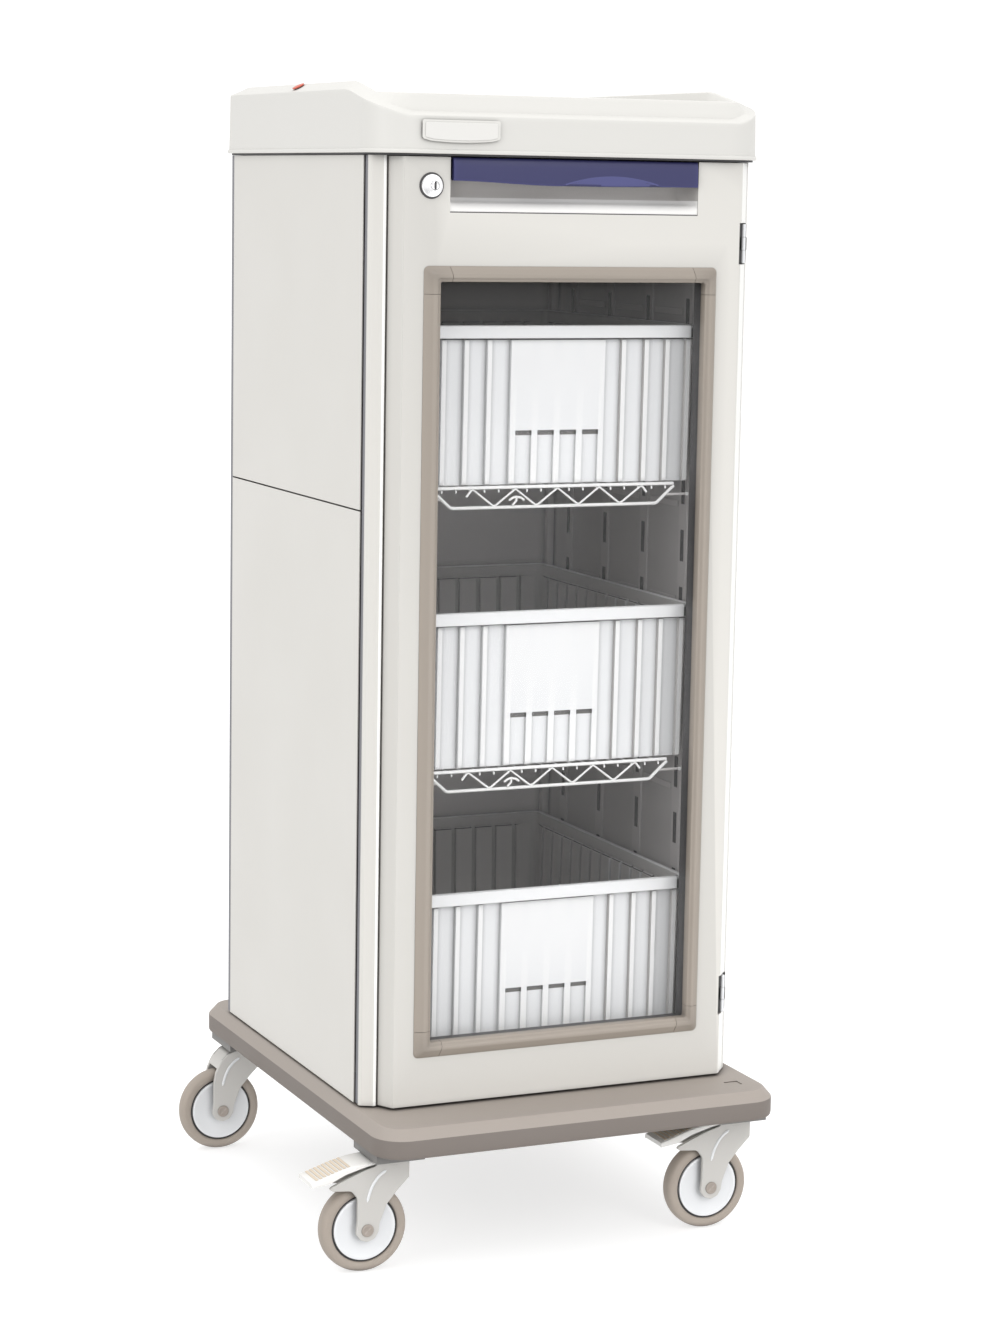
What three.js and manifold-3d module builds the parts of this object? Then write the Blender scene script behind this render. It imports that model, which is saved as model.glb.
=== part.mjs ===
// Medication cart: closed tote cabinet with a glazed door, on a bumper base with four swivel casters.
// Millimetres, +Z up, door towards -Y, width along X. Origin at the bottom centre of the bounding box.
import * as THREE from "three";
import { mergeVertices } from "three/addons/utils/BufferGeometryUtils.js";
import Module from "manifold-3d";

const wasm = await Module();
wasm.setup();

// Cabinet, measured from its own centre line.
const cabinetLeft = 296.6;
const cabinetRight = 292.4;
const cabinetBottom = 221;
const cabinetTop = 1542;
const cabinetBack = 303;
const panelSeamZ = 1059;
const openingHalfWidth = 236;
const sheet = 2;
const gap = 0.3;

// Bumper base and chassis.
const baseHalfWidth = 311;
const baseHalfDepth = 388;
const baseBottom = 176;
const baseEdge = 204;
const baseTop = 218;
const baseCorner = 45;
const baseChamfer = 12.5;

// Moulded top.
const lidHalfWidth = 300;
const lidCentre = -3;
const lidFront = -299;
const lidBack = 306;
const lidBottom = 1545;
const lidFrontCrease = 1596;
const lidSideCrease = 1631;
const lidRise = 12;
const lidDeck = 1622;
const lidDraft = 3;
const lidShoulderInset = 26;
const lidDeckInset = 36;
const lidSweepFront = 44;
const lidSweepSide = 110;
const lidCorner = 60;
const lidBackCorner = 5;
const lidCornerSteps = 6;

// Door.
const doorFace = -288.6;
const doorBack = -247;
const doorBevelY = -265;
const doorLockEdge = 270;
const doorHingeEdge = 276.5;
const doorBackChamfer = 5;
const doorFaceHalfWidth = 257;
const doorBottom = 222;
const doorTop = 1541;
const windowHalfWidth = 201.5;
const windowLow = 312;
const windowHigh = 1373.5;
const bezelWidth = 20;
const bezelCorner = 36.5;
const pocketLeft = -189;
const pocketRight = 187;
const pocketLow = 1467;
const lockX = -217;
const lockZ = 1502.4;
const plugX = -213;
const hingeX = 266;
const hingeY = -279;
const hingeUpper = 1428.5;
const hingeLower = 339.5;
const hingeHalf = 29;

// Slotted uprights on the side liners, back to front.
const uprightPlaces = [219, 88, -43, -171];

// Wire shelves and totes.
const shelfTops = [1089, 688, 287];
const shelfDrop = 33;
const wire = 5;
const toteHeight = 223;
const toteHalfWidth = 219;
const toteRimHalfWidth = 226;
const toteCorner = 12;
const toteFront = -240;
const toteBack = 285;

// Casters.
const swivelX = 269;
const swivelY = 308;
const trail = 40;
const wheelRadius = 63.5;
const tyreHalfWidth = 13;
const cheekInner = 17;
const cheekOuter = 23;

// The pedals reach further than the bumper, so the cabinet stands off the centre of the whole box.
const frameShift = 41.5;

const materials = {
  body: paint(0xe4e2dc, 0.45),
  bumper: paint(0xa1978e, 0.6),
  bezel: paint(0x9c9287, 0.5),
  glazing: clear(0xf2f6f6),
  handle: paint(0x56598f, 0.4),
  tote: paint(0xe8e9ec, 0.5),
  wire: metal(0xe2e3e6, 0.35),
  steel: metal(0xc8c9cc, 0.25),
  chassis: metal(0x6f6d6b, 0.5),
  liner: paint(0x575350, 0.7),
  seam: paint(0x7d7d82, 0.7),
  badge: paint(0xd4d2cd, 0.4),
  marker: paint(0xdd6a4f, 0.4),
  tyre: paint(0x8f857c, 0.75),
  wheel: paint(0xe9eaec, 0.45),
  fork: paint(0xd9d6d0, 0.5),
  pedal: paint(0xe8dfd2, 0.55),
};

function paint(color, roughness) {
  return new THREE.MeshStandardMaterial({ color, roughness, metalness: 0 });
}

function metal(color, roughness) {
  return new THREE.MeshStandardMaterial({ color, roughness, metalness: 0.9 });
}

function clear(color) {
  return new THREE.MeshStandardMaterial({ color, roughness: 0.05, transparent: true, opacity: 0.3 });
}

// ---- Shape helpers ----

function solid(geometry) {
  const bare = geometry.clone();
  bare.deleteAttribute("normal");
  bare.deleteAttribute("uv");
  const merged = mergeVertices(bare, 1e-4);
  return new wasm.Manifold(
    new wasm.Mesh({
      numProp: 3,
      vertProperties: new Float32Array(merged.attributes.position.array),
      triVerts: new Uint32Array(merged.index.array),
    }),
  );
}

function surface(manifold) {
  const mesh = manifold.getMesh();
  const geometry = new THREE.BufferGeometry();
  geometry.setAttribute("position", new THREE.BufferAttribute(new Float32Array(mesh.vertProperties), 3));
  geometry.setIndex(new THREE.BufferAttribute(new Uint32Array(mesh.triVerts), 1));
  geometry.computeVertexNormals();
  return geometry;
}

function join(...geometries) {
  return surface(geometries.map(solid).reduce((whole, piece) => whole.add(piece)));
}

function cut(geometry, ...tools) {
  return surface(tools.map(solid).reduce((whole, tool) => whole.subtract(tool), solid(geometry)));
}

function keep(geometry, region) {
  return surface(solid(geometry).intersect(solid(region)));
}

function box(x0, x1, y0, y1, z0, z1) {
  return new THREE.BoxGeometry(x1 - x0, y1 - y0, z1 - z0).translate(
    (x0 + x1) / 2,
    (y0 + y1) / 2,
    (z0 + z1) / 2,
  );
}

function outline(points) {
  return new THREE.Shape(points.map(([u, v]) => new THREE.Vector2(u, v)));
}

function extrude(points, length) {
  return new THREE.ExtrudeGeometry(outline(points), { depth: length, bevelEnabled: false });
}

// A plan outline (x, y) raised from z0 to z1.
function column(points, z0, z1) {
  return extrude(points, z1 - z0).translate(0, 0, z0);
}

// A front outline (x, z) given depth from y0 back to y1.
function plate(points, y0, y1) {
  return extrude(points, y1 - y0).rotateX(Math.PI / 2).translate(0, y1, 0);
}

// A side outline (y, z) given width from x0 to x1.
function beam(points, x0, x1) {
  return extrude(points, x1 - x0).rotateY(Math.PI / 2).rotateX(Math.PI / 2).translate(x0, 0, 0);
}

function mirrored(points) {
  return points.map(([u, v]) => [-u, v]);
}

function cylinderY(radius, y0, y1, x, z, sides = 20) {
  return new THREE.CylinderGeometry(radius, radius, y1 - y0, sides).translate(x, (y0 + y1) / 2, z);
}

function cylinderZ(radius, z0, z1, x, y, sides = 20) {
  return new THREE.CylinderGeometry(radius, radius, z1 - z0, sides)
    .rotateX(Math.PI / 2)
    .translate(x, y, (z0 + z1) / 2);
}

function turnedY(profile, sides) {
  return new THREE.LatheGeometry(profile.map(([r, y]) => new THREE.Vector2(r, y)), sides);
}

// A rounded rectangle as a ring of plan points, anticlockwise seen from above.
function roundedRing(x0, x1, y0, y1, radius, steps, backRadius = radius) {
  const corners = [
    [x1 - radius, y0 + radius, radius, -90],
    [x1 - backRadius, y1 - backRadius, backRadius, 0],
    [x0 + backRadius, y1 - backRadius, backRadius, 90],
    [x0 + radius, y0 + radius, radius, 180],
  ];
  const ring = [];
  for (const [cx, cy, r, start] of corners) {
    for (let k = 0; k <= steps; k++) {
      const angle = THREE.MathUtils.degToRad(start + (90 * k) / steps);
      ring.push([cx + r * Math.cos(angle), cy + r * Math.sin(angle)]);
    }
  }
  return ring;
}

// Skins a stack of rings with equal point counts; the first and last ring are closed with a fan.
function skinned(rings) {
  const count = rings[0].length;
  const positions = rings.flat(2);
  const middle = (ring) => [0, 1, 2].map((axis) => ring.reduce((sum, p) => sum + p[axis], 0) / count);
  positions.push(...middle(rings[0]), ...middle(rings[rings.length - 1]));
  const lowCentre = rings.length * count;
  const index = [];
  for (let k = 0; k < count; k++) {
    const next = (k + 1) % count;
    index.push(lowCentre, next, k);
    for (let level = 0; level + 1 < rings.length; level++) {
      const a = level * count;
      const b = a + count;
      index.push(a + k, a + next, b + next, a + k, b + next, b + k);
    }
    const last = (rings.length - 1) * count;
    index.push(lowCentre + 1, last + k, last + next);
  }
  const geometry = new THREE.BufferGeometry();
  geometry.setAttribute("position", new THREE.BufferAttribute(new Float32Array(positions), 3));
  geometry.setIndex(index);
  geometry.computeVertexNormals();
  return geometry;
}

function level(ring, z) {
  return ring.map(([x, y]) => [x, y, typeof z === "function" ? z(x, y) : z]);
}

// ---- Base and top ----

function baseBumper() {
  const plan = (inset) =>
    roundedRing(
      -baseHalfWidth + inset,
      baseHalfWidth - inset,
      -baseHalfDepth + inset,
      baseHalfDepth - inset,
      baseCorner - inset,
      5,
    );
  const shell = skinned([
    level(plan(5), baseBottom),
    level(plan(0), baseBottom + 5),
    level(plan(0), baseEdge),
    level(plan(baseChamfer), baseTop),
  ]);
  const hollow = (x0) => box(x0, x0 + 228, -swivelY + 21, swivelY - 21, baseBottom - 5, baseTop - 6);
  return cut(shell, hollow(-248.5), hollow(20.5));
}

function chassisFrame() {
  const low = baseBottom - 12;
  const high = baseBottom - gap;
  const pieces = [
    box(-swivelX - 20, swivelX + 20, -swivelY - 20, -swivelY + 20, low, high),
    box(-swivelX - 20, swivelX + 20, swivelY - 20, swivelY + 20, low, high),
    box(-swivelX - 20, -swivelX + 20, -swivelY, swivelY, low, high),
    box(swivelX - 20, swivelX + 20, -swivelY, swivelY, low, high),
    box(-20, 20, -swivelY, swivelY, low, high),
  ];
  for (const [x, y] of casterPlaces()) {
    pieces.push(box(x - 36, x + 36, y - 44, y + 44, low, high));
  }
  return join(...pieces);
}

// Height of the crease round the top: high along both sides, dropping round the front corners.
function lidCrease(x, y) {
  const fromFront = y - lidFront;
  const fromSide = lidHalfWidth - Math.abs(x);
  const along = (fromFront - fromSide + lidSweepFront) / (lidSweepFront + lidSweepSide);
  return THREE.MathUtils.lerp(lidFrontCrease, lidSideCrease, THREE.MathUtils.clamp(along, 0, 1));
}

function lidPlan(inset) {
  const x = lidHalfWidth - inset;
  const radius = lidCorner - 0.77 * inset;
  const backRadius = lidBackCorner - 0.03 * inset;
  const y0 = lidFront + inset;
  const y1 = lidBack - inset;
  return withRunPoints(
    roundedRing(-x, x, y0, y1, radius, lidCornerSteps, backRadius),
    lidCornerSteps + 1,
  );
}

function mouldedTop() {
  const shoulder = (x, y) => Math.max(lidCrease(x, y) + lidRise, lidDeck + 4);
  const shell = skinned([
    level(lidPlan(0), lidBottom),
    level(lidPlan(lidDraft), lidCrease),
    level(lidPlan(lidShoulderInset), shoulder),
    level(lidPlan(lidDeckInset), lidDeck),
  ]);
  const hollowed = cut(shell, lidHollow(9, lidFrontCrease - 8), lidHollow(48, lidDeck - 6));
  return hollowed.translate(lidCentre, 0, 0);
}

// The hollow under the top, open below.
function lidHollow(wall, height) {
  return column(lidPlan(wall), lidBottom - 5, height);
}

// Adds six points along each straight run that follows a corner of a rounded ring.
function withRunPoints(ring, cornerPoints) {
  const result = [];
  const parts = 7;
  ring.forEach((point, k) => {
    const next = ring[(k + 1) % ring.length];
    result.push(point);
    if (k % cornerPoints !== cornerPoints - 1) return;
    for (let part = 1; part < parts; part++) {
      const t = part / parts;
      result.push([
        THREE.MathUtils.lerp(point[0], next[0], t),
        THREE.MathUtils.lerp(point[1], next[1], t),
      ]);
    }
  });
  return result;
}

function topBadge() {
  const bowed = [
    [-236, 1590],
    [-236, 1565],
    [-222, 1562],
    [-179, 1560],
    [-136, 1562],
    [-122, 1565],
    [-122, 1590],
  ];
  return plate(bowed, lidFront - 3, lidFront - gap);
}

function topMarker() {
  return new THREE.CylinderGeometry(9, 9, 2, 20)
    .rotateX(Math.PI / 2)
    .rotateY(-Math.atan2(lidRise, lidShoulderInset - 2))
    .translate(-289.6, 35, 1638.9);
}

// ---- Cabinet shell ----

function wallDistance(side) {
  return side > 0 ? cabinetRight : cabinetLeft;
}

function sidePanel(side, z0, z1) {
  const outer = side * wallDistance(side);
  const inner = side * (wallDistance(side) - sheet);
  return box(Math.min(outer, inner), Math.max(outer, inner), -239, 290.5, z0, z1);
}

// The corner post on the lock side stands out beside the door; the one on the hinge side is slim.
function frontPost(side) {
  const lockSide = [
    [296.6, -251.5],
    [287, -251.5],
    [287, -241],
    [openingHalfWidth, -241],
    [openingHalfWidth, -245.8],
    [271.6, -245.8],
    [271.6, -264],
    [273, -266],
    [282, -263.5],
    [291, -258],
  ];
  const hingeSide = [
    [285.2, -251.5],
    [282, -251.5],
    [282, -241],
    [openingHalfWidth, -241],
    [openingHalfWidth, -245.8],
    [278.1, -245.8],
    [278.1, -259.5],
    [279.2, -261],
    [281, -259.5],
    [283.6, -255],
  ];
  return column(side > 0 ? hingeSide : mirrored(lockSide), cabinetBottom, cabinetTop);
}

function seamStrip(side) {
  const lockSide = [
    [287.3, -251.2],
    [293.6, -251.2],
    [293.6, -239.3],
    [287.3, -239.3],
  ];
  const hingeSide = [
    [282.3, -251.2],
    [285, -251.2],
    [291, -239.3],
    [282.3, -239.3],
  ];
  return column(side > 0 ? hingeSide : mirrored(lockSide), cabinetBottom, cabinetTop);
}

function backPost(side) {
  const wall = wallDistance(side);
  const plan = [
    [wall - 0.6, 290.8],
    [wall - 0.6, 301.5],
    [wall - 2.1, cabinetBack],
    [wall - 12.6, cabinetBack],
    [wall - 12.6, 290.8],
  ];
  return column(side > 0 ? plan : mirrored(plan), cabinetBottom, cabinetTop);
}

function backPanel() {
  const left = -cabinetLeft + 12.9;
  const right = cabinetRight - 12.9;
  return box(left, right, cabinetBack - sheet, cabinetBack, cabinetBottom, cabinetTop);
}

function crossRail(z0, z1) {
  return box(-openingHalfWidth + gap, openingHalfWidth - gap, -245.8, -241, z0, z1);
}

// Inner side wall with four slotted uprights standing proud of it.
function sideLiner(side) {
  const upright = (middle) => [
    [238.5, middle + 14],
    [236.5, middle + 12],
    [236.5, middle - 12],
    [238.5, middle - 14],
  ];
  const plan = [
    [241, -222],
    [241, 284],
    [238.5, 284],
    ...uprightPlaces.flatMap(upright),
    [238.5, -222],
  ];
  return column(side > 0 ? plan : mirrored(plan), cabinetBottom + 2, cabinetTop - 2);
}

function backLiner() {
  return box(-238, 238, 285, 288, cabinetBottom + 2, cabinetTop - 2);
}

// ---- Door ----

// Plan of the door shrunk by a skin thickness, from x0 to the edge on one side.
function doorPlan(skin, x0, side) {
  const edge = (side > 0 ? doorHingeEdge : doorLockEdge) - skin;
  const plan = [
    [x0, doorFace + skin],
    [doorFaceHalfWidth - skin / 2, doorFace + skin],
    [edge, doorBevelY + skin / 2],
    [edge, doorBack - skin - doorBackChamfer],
    [edge - doorBackChamfer, doorBack - skin],
    [x0, doorBack - skin],
  ];
  return side > 0 ? plan : mirrored(plan);
}

// The hollow inside the folded door, open at its bottom edge.
function doorHollows() {
  const skin = 2.5;
  const low = doorBottom - 5;
  const y = [doorFace + skin + 0.1, doorBack - skin - 0.1];
  const hole = windowHalfWidth + 6.5 + skin;
  const hingeEnd = doorLockEdge - 18;
  return [
    column(doorPlan(skin, hole, -1), low, doorTop - skin),
    box(hole + 0.1, hingeEnd, ...y, low - 1, doorTop - skin - 0.4),
    column(doorPlan(skin, hole + 0.6, 1), hingeLower + hingeHalf + skin, hingeUpper - hingeHalf - skin),
    box(-hole - 1, hole + 1, y[0] + 0.2, y[1] - 0.2, windowHigh + 6.5 + skin, pocketLow - gap - skin),
    box(-hole - 1, hole + 1, y[0] + 0.3, y[1] - 0.3, low - 2, windowLow - 6.5 - skin),
  ];
}

function doorPanel() {
  const plan = [...doorPlan(0, 0, 1), ...doorPlan(0, 0, -1).reverse()].filter(([x]) => x !== 0);
  const hole = windowHalfWidth + 6.5;
  const tools = [
    ...doorHollows(),
    box(-hole, hole, doorFace - 10, doorBack + 10, windowLow - 6.5, windowHigh + 6.5),
    box(pocketLeft - gap, pocketRight + gap, doorFace - 10, -252, pocketLow - gap, doorTop + 10),
    cylinderY(10.8, doorFace - 10, doorBack + 10, lockX, lockZ, 24),
  ];
  for (const middle of [hingeUpper, hingeLower]) {
    const low = middle - hingeHalf;
    const high = middle + hingeHalf;
    tools.push(box(254.5, 282, doorFace - 10, -270, low, high));
    tools.push(box(267, 282, -275, doorBack + 10, low, high));
  }
  return cut(column(plan, doorBottom, doorTop), ...tools);
}

function windowBezel() {
  const w = windowHalfWidth;
  const ring = (grow, radius) =>
    roundedRing(-w - grow, w + grow, windowLow - grow, windowHigh + grow, radius, 3);
  const flange = plate(ring(bezelWidth, 7), doorFace - 5.4, doorFace - gap);
  const lining = plate(ring(6.2, 5), doorFace - 1, -277);
  const light = plate(ring(0, 3), doorFace - 20, -260);
  return cut(join(flange, lining), light);
}

function bezelCornerPiece(xSide, zSide) {
  const outerX = windowHalfWidth + bezelWidth + 5;
  const innerX = windowHalfWidth + bezelWidth - bezelCorner;
  const x = [xSide * innerX, xSide * outerX].sort((a, b) => a - b);
  const edge = zSide > 0 ? windowHigh + bezelWidth : windowLow - bezelWidth;
  const z = [edge - zSide * bezelCorner, edge + zSide * 5].sort((a, b) => a - b);
  return keep(windowBezel(), box(x[0], x[1], -300, -270, z[0], z[1]));
}

function bezelRail(zSide) {
  const half = windowHalfWidth + bezelWidth - bezelCorner - gap;
  const z = zSide > 0 ? windowHigh : windowLow;
  return keep(windowBezel(), box(-half, half, -300, -270, z - 30, z + 30));
}

function bezelStile(xSide) {
  const low = windowLow - bezelWidth + bezelCorner + gap;
  const high = windowHigh + bezelWidth - bezelCorner - gap;
  const x = xSide * (windowHalfWidth + 5);
  return keep(windowBezel(), box(x - 30, x + 30, -300, -270, low, high));
}

function windowPane() {
  const half = windowHalfWidth + 6.2;
  return box(-half, half, -276.6, -273.2, windowLow - 6.2, windowHigh + 6.2);
}

function pocketCup() {
  const side = [
    [doorFace + 0.6, pocketLow],
    [-252.3, pocketLow],
    [-252.3, doorTop],
    [-254.8, doorTop],
    [-254.8, 1492],
    [-259, 1484],
    [-267, 1478],
    [-280, 1473],
    [doorFace + 0.6, 1469],
  ];
  const cheek = [
    [doorFace + 0.6, pocketLow],
    [-252.3, pocketLow],
    [-252.3, doorTop],
    [doorFace + 0.6, doorTop],
  ];
  return join(
    beam(side, pocketLeft, pocketRight),
    beam(cheek, pocketLeft, pocketLeft + 2.5),
    beam(cheek, pocketRight - 2.5, pocketRight),
  );
}

function pullHandle() {
  const side = [
    [-291, doorTop - 2],
    [-293.5, 1530],
    [-293.5, 1512],
    [-290, 1505],
    [-284, 1504.5],
    [-281, 1510],
    [-281, 1531],
    [-255.1, 1533],
    [-255.1, doorTop],
    [-287, doorTop],
  ];
  const x0 = pocketLeft + 2.8;
  const x1 = pocketRight - 2.8;
  const scoop = new THREE.CylinderGeometry(150, 150, 12, 48).translate(52, -295.8, 1366);
  return cut(beam(side, x0, x1), scoop);
}

function lockBody() {
  const outer = join(
    cylinderY(15.5, doorFace - 4, doorFace - gap, lockX, lockZ, 28),
    cylinderY(10.5, doorFace - 1, -241, lockX, lockZ, 24),
  );
  return cut(outer, cylinderY(6.3, doorFace - 10, -235, plugX, lockZ, 20));
}

function lockPlug() {
  const turned = join(
    cylinderY(6, doorFace - 4.5, -239.5, plugX, lockZ, 20),
    box(plugX - 3, plugX + 3, -240, -236.2, lockZ - 3, lockZ + 3),
  );
  return cut(turned, box(plugX - 1, plugX + 1, doorFace - 10, doorFace + 6, lockZ - 5, lockZ + 5));
}

function lockCam() {
  const arm = [
    [plugX - 7, lockZ + 7],
    [plugX - 7, lockZ - 33],
    [plugX + 7, lockZ - 33],
    [plugX + 7, lockZ + 7],
  ];
  const socket = box(plugX - 3.3, plugX + 3.3, -245, -230, lockZ - 3.3, lockZ + 3.3);
  return cut(plate(arm, -238.8, -236.4), socket);
}

function hingeFrameLeaf(middle) {
  const barrel = cut(
    join(
      cylinderZ(5, middle - 9, middle + 9, hingeX, hingeY, 16),
      box(267.8, 271.2, hingeY - 0.5, -261.9, middle - 27, middle + 27),
      box(267.9, 277.6, -265.2, -262, middle - 26.9, middle + 26.9),
      box(274.5, 277.7, -265, -248.3, middle - 27, middle + 27),
    ),
    box(hingeX - 6, 275, hingeY - 6, hingeY + 6, middle + 9, middle + 30),
    box(hingeX - 6, 275, hingeY - 6, hingeY + 6, middle - 30, middle - 9),
  );
  return cut(barrel, cylinderZ(2.8, middle - 30, middle + 30, hingeX, hingeY, 12));
}

function hingeDoorLeaf(middle) {
  const pieces = [
    box(254.8, 257.3, -287, -270.3, middle - 28, middle + 28),
    cylinderZ(2.4, middle - 20, middle + 20, hingeX, hingeY, 12),
  ];
  for (const z of [middle - 18.5, middle + 18.5]) {
    pieces.push(cylinderZ(5, z - 9, z + 9, hingeX, hingeY, 16));
    pieces.push(box(256, hingeX - 2, hingeY - 3, hingeY + 3, z - 9, z + 9));
  }
  return join(...pieces);
}

// ---- Wire shelves and totes ----

function wireShelf(top) {
  const half = 189;
  const front = toteFront + 2;
  const back = 270;
  const bays = 8;
  const pieces = [
    box(-half, half, front, front + wire, top - wire, top),
    box(-half, half, back - wire, back, top - wire, top),
  ];
  for (let k = 0; k <= bays; k++) {
    const x = -half + 4 + (k * (2 * half - 8)) / bays;
    pieces.push(box(x - 2, x + 2, front + 1, back - 1, top - wire + 0.6, top - 0.5));
  }
  for (const y of [front, back - wire]) {
    pieces.push(plate(trussOutline(top, half), y + 0.4, y + wire - 0.4));
    for (const side of [-1, 1]) {
      const x = [side * (half - 16.5), side * 236].sort((a, b) => a - b);
      pieces.push(box(x[0], x[1], y + 0.8, y + wire - 0.8, top - 20, top - 16));
    }
  }
  return join(...pieces);
}

// Front view of one truss: lower chord with both ends slanting up to the top wire.
function trussOutline(top, half) {
  const low = top - shelfDrop;
  return [
    [-half + 0.6, top - 2],
    [-half + 29, low],
    [half - 29, low],
    [half - 0.6, top - 2],
    [half - 6.6, top - 2],
    [half - 31, low + wire],
    [-half + 31, low + wire],
    [-half + 6.6, top - 2],
  ];
}

function tote(shelfTop) {
  const bottom = shelfTop + gap;
  const top = bottom + toteHeight;
  const flange = toteRimHalfWidth - toteHalfWidth;
  const plan = (inset, radius) =>
    roundedRing(
      -toteRimHalfWidth + inset,
      toteRimHalfWidth - inset,
      toteFront + inset,
      toteBack - inset,
      radius,
      4,
    );
  return skinned([
    level(plan(flange + 4, toteCorner - 4), bottom),
    level(plan(flange, toteCorner), top - 18),
    level(plan(0, toteCorner + flange), top - 18),
    level(plan(0, toteCorner + flange), top),
    level(plan(flange + 3, toteCorner - 3), top),
    level(plan(flange + 7, toteCorner - 7), bottom + 3),
  ]);
}

// ---- Casters ----

function casterPlaces() {
  return [
    [-swivelX, -swivelY],
    [swivelX, -swivelY],
    [-swivelX, swivelY],
    [swivelX, swivelY],
  ];
}

// Side view of a fork cheek, measured from the wheel centre; braked forks reach out under the pedal.
function cheekOutline(braked) {
  const reach = [
    [-24, 59],
    [-52, 61.5],
    [-57, 65],
    [-54, 68],
    [-35, 76],
    [-5, 87.5],
    [11, 91.5],
    [15, 96],
  ];
  const plain = [
    [-12, 62],
    [-4, 79],
    [8, 91],
    [22, 96],
  ];
  const points = [
    [-15, 25],
    [-15, 47],
    ...(braked ? reach : plain),
    [62, 96],
    [62, 71],
    [43, 52],
    [28, 34],
    [19, 11],
  ];
  for (let k = 0; k <= 8; k++) {
    const angle = THREE.MathUtils.degToRad(10 - 22.5 * k);
    points.push([17 * Math.cos(angle), 17 * Math.sin(angle)]);
  }
  return points;
}

function casterFork(x, y, braked) {
  const wx = x - trail;
  const place = (points) => points.map(([u, v]) => [u + wx, v + wheelRadius]);
  const cheek = place(cheekOutline(braked));
  const head = place([
    [22, 96],
    [22, 74],
    [30, 70],
    [50, 69],
    [62, 71],
    [62, 96],
  ]);
  const pieces = [
    plate(cheek, y - cheekOuter, y - cheekInner),
    plate(cheek, y + cheekInner, y + cheekOuter),
    plate(head, y - cheekOuter, y + cheekOuter),
    cylinderY(4.7, y - cheekOuter, y + cheekOuter, wx, wheelRadius, 12),
    cylinderY(9, y - cheekOuter - 2, y - cheekOuter + 1, wx, wheelRadius, 18),
    cylinderY(9, y + cheekOuter - 1, y + cheekOuter + 2, wx, wheelRadius, 18),
    cylinderZ(26, wheelRadius + 90, baseBottom - 12.5, x, y, 24),
  ];
  if (!braked) {
    const crown = place([
      [24, 96],
      [22, 96],
      [8, 91],
      [-4, 79],
      [-11, 66.5],
      [0, 68],
      [24, 73],
    ]);
    pieces.push(plate(crown, y - cheekOuter, y + cheekOuter));
  }
  return join(...pieces);
}

function casterWheel(x, y) {
  const profile = [
    [5.1, -12],
    [44, -12],
    [48.6, -9],
    [48.6, 9],
    [44, 12],
    [5.1, 12],
    [5.1, -12],
  ];
  return turnedY(profile, 28).translate(x - trail, y, wheelRadius);
}

function casterTyre(x, y) {
  const w = tyreHalfWidth;
  const profile = [
    [49, -w + 1],
    [58, -w],
    [62, -w + 3],
    [wheelRadius, -4],
    [wheelRadius, 4],
    [62, w - 3],
    [58, w],
    [49, w - 1],
    [49, -w + 1],
  ];
  return turnedY(profile, 32).translate(x - trail, y, wheelRadius);
}

// A hood over the fork: a sloping tread plate with a skirt down each side and a pivot lug.
function brakePedal(x, y) {
  const place = (points) => points.map(([u, v]) => [u + x - trail, v + wheelRadius]);
  const top = [
    [12.5, 99],
    [-5, 98.2],
    [-25, 95.5],
    [-58, 86],
    [-85, 77.5],
  ];
  const skirtEdge = [
    [-84.5, 71],
    [-58, 74.5],
    [-35, 85],
    [-5, 93],
    [12.5, 96.2],
  ];
  const underside = top.map(([u, v]) => [u, v - 3]).reverse();
  const lug = [
    [-8, 97],
    [-8, 85],
    [-3, 81],
    [7, 81],
    [11, 85],
    [11, 97.5],
  ];
  const outer = cheekOuter + 3.5;
  const tip = [
    [-84.9, 77],
    [-84.3, 71.2],
    [-81, 71.8],
    [-81, 77],
  ];
  const skirt = place([...top, ...skirtEdge]);
  return join(
    plate(place([...top, ...underside]), y - outer + 0.4, y + outer - 0.4),
    plate(skirt, y - outer, y - cheekOuter - 0.5),
    plate(skirt, y + cheekOuter + 0.5, y + outer),
    plate(place(tip), y - outer + 0.8, y + outer - 0.8),
    plate(place(lug), y - 11, y + 11),
  );
}

// ---- Assembly ----

const group = new THREE.Group();

function add(name, geometry, material) {
  const mesh = new THREE.Mesh(geometry.translate(frameShift, 0, 0), material);
  mesh.name = name;
  group.add(mesh);
}

add("base_bumper", baseBumper(), materials.bumper);
add("chassis_frame", chassisFrame(), materials.chassis);
add("moulded_top", mouldedTop(), materials.body);
add("top_badge", topBadge(), materials.badge);
add("top_marker", topMarker(), materials.marker);

for (const [word, side] of [["left", -1], ["right", 1]]) {
  add(`panel_${word}_upper`, sidePanel(side, panelSeamZ + 1, cabinetTop), materials.body);
  add(`panel_${word}_lower`, sidePanel(side, cabinetBottom, panelSeamZ - 1), materials.body);
  add(`post_front_${word}`, frontPost(side), materials.body);
  add(`post_back_${word}`, backPost(side), materials.seam);
  add(`seam_strip_${word}`, seamStrip(side), materials.seam);
  add(`liner_${word}`, sideLiner(side), materials.liner);
}
add("panel_back", backPanel(), materials.body);
add("liner_back", backLiner(), materials.liner);
add("rail_header", crossRail(1520, cabinetTop), materials.body);
add("rail_sill", crossRail(cabinetBottom, 240), materials.body);

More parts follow.
